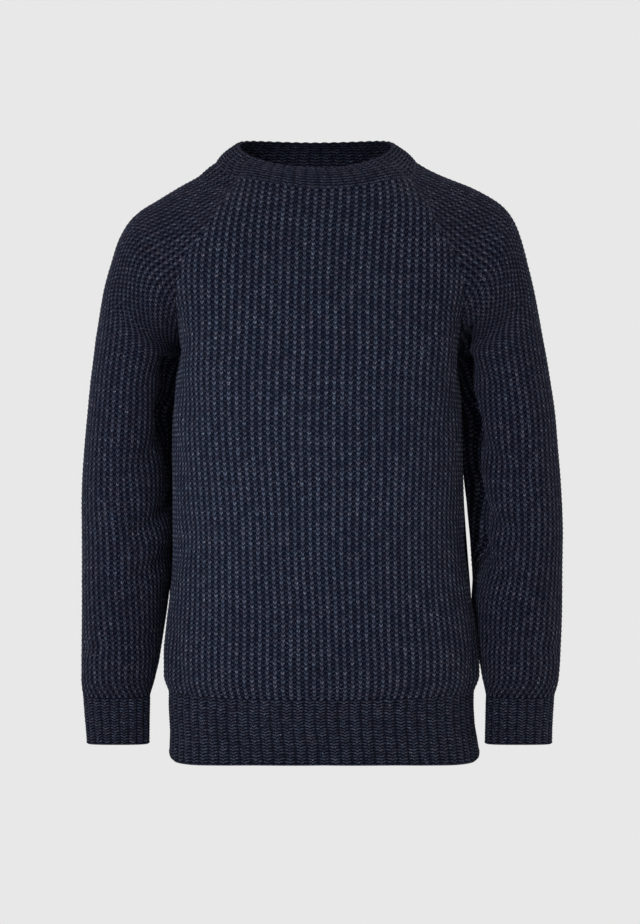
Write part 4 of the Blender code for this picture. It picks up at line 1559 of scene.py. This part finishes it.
@dataclass
class Sleeves:
    """Both sleeves with their cuffs.

    Args:
        wale: How wide a wale is.
        pitch: How the wales are drawn together at the cuff.
        cuff_ribs: The ribs in each half of a cuff.
        cuff_end: The level of the cuff's edge.
        cuff_tuck: How far a cuff reaches under its sleeve.
        creases: The creases of both sleeves.
        left_armpit: The hollow behind the left armpit.
        right_armpit: The hollow behind the right armpit.
        left_lean: How far the left sleeve's inner and outer lines hang outward of the form's own.
        right_lean: The same for the right sleeve.
        sleeve: How the sleeves are knitted.
        cuff: How the cuffs are knitted.
    """

    wale: float = 0.0080
    pitch: Table = Table("level pitch", ((0.0, 1.0), (1.85, 1.0), (1.96, 0.93), (2.0, 0.86)))
    cuff_ribs: int = 10
    cuff_end: float = 2.94
    cuff_tuck: float = 0.0008
    creases: tuple[Crease, ...] = (
        Crease((1.28, -0.95), (1.46, -0.42), 0.014, 0.0058),
        Crease((1.47, -1.00), (1.60, -0.50), 0.013, 0.0062),
        Crease((1.62, -0.98), (1.70, -0.55), 0.012, 0.0045),
        Crease((1.10, -0.92), (1.22, -0.55), 0.016, 0.0040),
        Crease((1.12, 0.92), (1.25, 0.50), 0.016, 0.0045),
        Crease((1.36, 0.95), (1.52, 0.45), 0.015, 0.0045),
        Crease((1.56, 1.00), (1.66, 0.50), 0.013, 0.0040),
        Crease((1.86, -0.75), (1.88, -0.15), 0.009, 0.0030),
        Crease((1.87, 0.80), (1.89, 0.20), 0.009, 0.0030),
        Crease((3.00, -1.30), (3.00, 1.30), 0.005, 0.0022),
    )
    left_armpit: tuple[Crease, ...] = (
        Crease((0.86, -0.94), (1.10, -0.91), 0.014, 0.0130),
        Crease((1.12, -0.90), (1.30, -0.86), 0.023, 0.0130),
        Crease((1.32, -0.86), (1.62, -0.85), 0.026, 0.0190),
    )
    right_armpit: tuple[Crease, ...] = (
        Crease((1.12, -0.88), (1.28, -0.80), 0.024, 0.015),
        Crease((1.30, -0.80), (1.40, -0.86), 0.022, 0.012),
    )
    left_lean: Table = Table("level inner outer", (
        (0.00, 0.0000, 0.0000), (0.30, 0.0000, 0.0000), (0.42, 0.0000, 0.0010), (0.53, 0.0000, -0.0020),
        (0.62, 0.0000, -0.0033), (0.85, 0.0000, -0.0036), (0.94, -0.0012, -0.0030), (1.00, -0.0034, -0.0025),
        (1.04, -0.0042, -0.0015), (1.10, -0.0042, 0.0000), (1.20, -0.0030, 0.0015), (1.30, -0.0020, 0.0030),
        (1.40, 0.0000, 0.0018), (1.50, 0.0045, 0.0012), (1.60, 0.0062, 0.0010), (1.70, 0.0030, 0.0000),
        (1.78, -0.0035, -0.0004), (1.90, -0.0055, -0.0028), (1.96, -0.0050, -0.0040),
        (2.00, -0.0062, -0.0045), (2.50, -0.0078, -0.0046), (3.00, -0.0088, -0.0040),
    ))
    right_lean: Table = Table("level inner outer", (
        (0.00, 0.0000, 0.0000), (0.20, 0.0000, -0.0010), (0.42, 0.0000, -0.0028), (0.53, 0.0000, -0.0008),
        (0.62, 0.0000, 0.0010), (0.72, 0.0000, 0.0010), (0.85, 0.0000, 0.0000), (0.94, -0.0012, 0.0000),
        (1.00, -0.0034, 0.0000), (1.04, -0.0042, 0.0000), (1.10, -0.0042, 0.0000), (1.20, -0.0030, -0.0020),
        (1.30, -0.0020, -0.0022), (1.40, -0.0010, -0.0022), (1.50, -0.0004, -0.0026),
        (1.60, -0.0030, -0.0042), (1.72, -0.0018, -0.0046), (1.82, -0.0030, -0.0046),
        (1.91, -0.0033, -0.0044), (1.96, -0.0014, -0.0033), (2.00, -0.0010, -0.0008),
        (2.50, -0.0010, -0.0015), (3.00, -0.0010, -0.0020),
    ))
    sleeve: Knitting = Knitting(
        Stitch.WIDE_CARDIGAN, even_gauge(0.0, 2.0, 0.0056), wale_relief=0.0016, strand_relief=0.0006,
    )
    cuff: Knitting = Knitting(
        Stitch.FIRM_RIB, even_gauge(2.0, 3.0, 0.0033), wale_relief=0.0021, strand_relief=0.0005,
        columns=6, rows=3, wander=0.05,
    )

    def pieces(self) -> list[tuple[KnitPiece, str]]:
        """Lists the sleeves and cuffs, each with its material slot."""
        plain = SleeveSurface((), PLAIN)

        def counts(level: float) -> tuple[float, float]:
            """Wales between the shoulder line and each edge."""
            pitch = self.wale * self.pitch.read("pitch", level)
            return tuple(length / pitch for length in plain.half_lengths(level))

        made = []
        for number, (side, mirrored, armpit, lean) in enumerate((
            ("left", False, self.left_armpit, self.left_lean),
            ("right", True, self.right_armpit, self.right_lean),
        )):
            surface = SleeveSurface(self.creases + armpit, lean)
            made.append((KnitPiece(
                f"sleeve_{side}", surface, self.sleeve, (2.0, 0.0), counts, SEWN_ALL_ROUND, (0, 2), mirrored,
                seed=number + 5,
            ), "half_cardigan_knit"))
            made.append((KnitPiece(
                f"cuff_{side}", surface, self.cuff, (self.cuff_end, 2.0), lambda level: (self.cuff_ribs,) * 2,
                (Edge.FREE, Edge.SEWN, Edge.JOINED), (2, 3), mirrored, seed=number + 7, tuck=self.cuff_tuck,
            ), "rib_knit"))
        return made


@dataclass
class NeckBand:
    """The collar.

    Args:
        ribs: The ribs in each half of it.
        scallop: How far the grooves between them cut into its upper edge.
        tuck: How far its lower edge reaches under the panels.
        rib: How it is knitted.
    """

    ribs: int = 23
    scallop: float = 0.0012
    tuck: float = 0.0012
    rib: Knitting = Knitting(
        Stitch.NECK_RIB, even_gauge(0.0, 1.0, 0.0034), wale_relief=0.0017, strand_relief=0.0005,
        columns=6, rows=3, inside_columns=6, inside_rows=3,
    )

    def pieces(self) -> list[tuple[KnitPiece, str]]:
        """Lists the collar with its material slot."""
        return [(KnitPiece(
            "collar", CollarSurface(), self.rib, (0.0, 1.0), lambda level: (self.ribs,) * 2,
            (Edge.SEWN, Edge.FREE, Edge.JOINED), (0, 1), seed=9, scallop=self.scallop, tuck=self.tuck,
        ), "rib_knit")]


@dataclass(frozen=True)
class Lamp:
    """A soft square light.

    Args:
        name: Its name.
        place: Where it hangs.
        size: The length of its side.
        power: Its power in watts.
        spread: How wide its beam opens, in degrees.
        tint: Its colour.
    """

    name: str
    place: Point
    size: float
    power: float
    spread: float
    tint: Point


@dataclass
class Studio:
    """A pale floor in a pale room, soft lights and the camera at the photograph's angle.

    Args:
        pale: How pale the room and the floor are.
        floor_z: The floor's height.
        floor_radius: The floor's radius.
        floor_sides: How many sides the floor has.
        lamps: The lights.
        target: What they face.
        distance: How far the camera stands in front.
        camera_z: The camera's height.
        frame_height: How much height the camera takes in at the sweater.
        sensor: The size of its sensor along the picture's height, in millimetres.
    """

    pale: float = 0.806
    floor_z: float = -1.05
    floor_radius: float = 9.0
    floor_sides: int = 64
    lamps: tuple[Lamp, ...] = (
        Lamp("key", (-1.0, -2.3, -0.1), 0.6, 0.95, 17.0, (0.90, 1.0, 1.14)),
        Lamp("fill", (1.6, -2.3, 0.1), 1.8, 0.5, 180.0, (1.0, 0.92, 0.94)),
    )
    target: Point = (-0.035, 0.0, -0.36)
    distance: float = 2.2
    camera_z: float = -0.34385
    frame_height: float = 1.0626
    sensor: float = 36.0

    def build(self) -> None:
        """Makes the world, the floor, the lights and the camera."""
        scene = bpy.context.scene
        scene.view_settings.view_transform = "Standard"
        world = bpy.data.worlds.new("pale_room")
        tree = ShaderTree(world)
        glow = self.glow(tree, "ShaderNodeBackground")
        tree.node("ShaderNodeOutputWorld", sockets={"Surface": glow}, output=None)
        scene.world = world
        self.floor()
        for lamp in self.lamps:
            self.light(lamp)
        self.camera()

    def glow(self, tree: ShaderTree, kind: str) -> Wire:
        """Adds a node that gives off the room's pale light."""
        return tree.node(kind, sockets={"Color": (self.pale, self.pale, self.pale, 1.0), "Strength": 1.0})

    def floor(self) -> None:
        """Lays the pale floor, which glows as evenly as the room."""
        bm = bmesh.new()
        bmesh.ops.create_circle(bm, cap_ends=True, segments=self.floor_sides, radius=self.floor_radius)
        bmesh.ops.translate(bm, verts=bm.verts, vec=Vector((0.0, 0.0, self.floor_z)))
        mesh = bpy.data.meshes.new("floor")
        bm.to_mesh(mesh)
        bm.free()
        floor = bpy.data.objects.new("floor", mesh)
        bpy.context.scene.collection.objects.link(floor)
        paint = bpy.data.materials.new("pale_floor")
        tree = ShaderTree(paint)
        glow = self.glow(tree, "ShaderNodeEmission")
        tree.node("ShaderNodeOutputMaterial", sockets={"Surface": glow}, output=None)
        mesh.materials.append(paint)

    def light(self, lamp: Lamp) -> None:
        """Hangs a light so that it faces the sweater's chest."""
        data = bpy.data.lights.new(lamp.name, "AREA")
        data.color = lamp.tint
        data.size = lamp.size
        data.energy = lamp.power
        data.spread = math.radians(lamp.spread)
        rig = bpy.data.objects.new(lamp.name, data)
        rig.location = lamp.place
        way = Vector(self.target) - Vector(lamp.place)
        rig.rotation_euler = way.to_track_quat("-Z", "Y").to_euler()
        bpy.context.scene.collection.objects.link(rig)

    def camera(self) -> None:
        """Sets the camera level in front of the sweater."""
        data = bpy.data.cameras.new("camera")
        data.sensor_width = self.sensor
        data.lens = self.sensor * self.distance / self.frame_height
        camera = bpy.data.objects.new("camera", data)
        camera.location = (0.0, -self.distance, self.camera_z)
        camera.rotation_euler = (math.radians(90), 0.0, 0.0)
        bpy.context.scene.collection.objects.link(camera)
        bpy.context.scene.camera = camera


# Each wool has its own stitch. Besides that, the sleeves', the ribs' and the collar's copies of the one navy
# yarn are painted darker than the body's copy, as painted shade for how the light falls on those parts.
WOOLS = (
    Wool(
        "half_cardigan_wool", Stitch.HALF_CARDIGAN, painted_hole_shade=(0.0010, 0.0017, 0.0062),
        yarn=(0.064, 0.071, 0.099), light=(0.27, 0.285, 0.33), depth=0.0009, uneven=0.72, stray=0.11,
    ),
    Wool(
        "wide_cardigan_shaded_wool", Stitch.WIDE_CARDIGAN, painted_hole_shade=(0.0011, 0.0016, 0.0055),
        yarn=(0.049, 0.053, 0.077), light=(0.23, 0.24, 0.28), depth=0.0009, uneven=0.76, stray=0.11,
    ),
    Wool(
        "rib_shaded_wool", Stitch.FIRM_RIB, painted_hole_shade=(0.0011, 0.0015, 0.0044),
        yarn=(0.033, 0.038, 0.057), light=(0.155, 0.165, 0.195), depth=0.0006, uneven=0.9, stray=0.15,
    ),
    Wool(
        "neck_shaded_wool", Stitch.NECK_RIB, painted_hole_shade=(0.0013, 0.0017, 0.0049),
        yarn=(0.0285, 0.032, 0.049), light=(0.13, 0.14, 0.17), depth=0.0006, uneven=0.9, stray=0.15,
    ),
)


def main() -> None:
    """Builds and dresses the nine pieces, then the studio."""
    logging.basicConfig(level=logging.INFO, format="%(name)s: %(message)s")
    wools = {wool.stitch: wool.material() for wool in WOOLS}
    for assembly in (Body(), Sleeves(), NeckBand()):
        for piece, slot in assembly.pieces():
            piece.dress(piece.build(), wools[piece.knitting.stitch], slot)
    Studio().build()


if __name__ == "__main__":
    main()
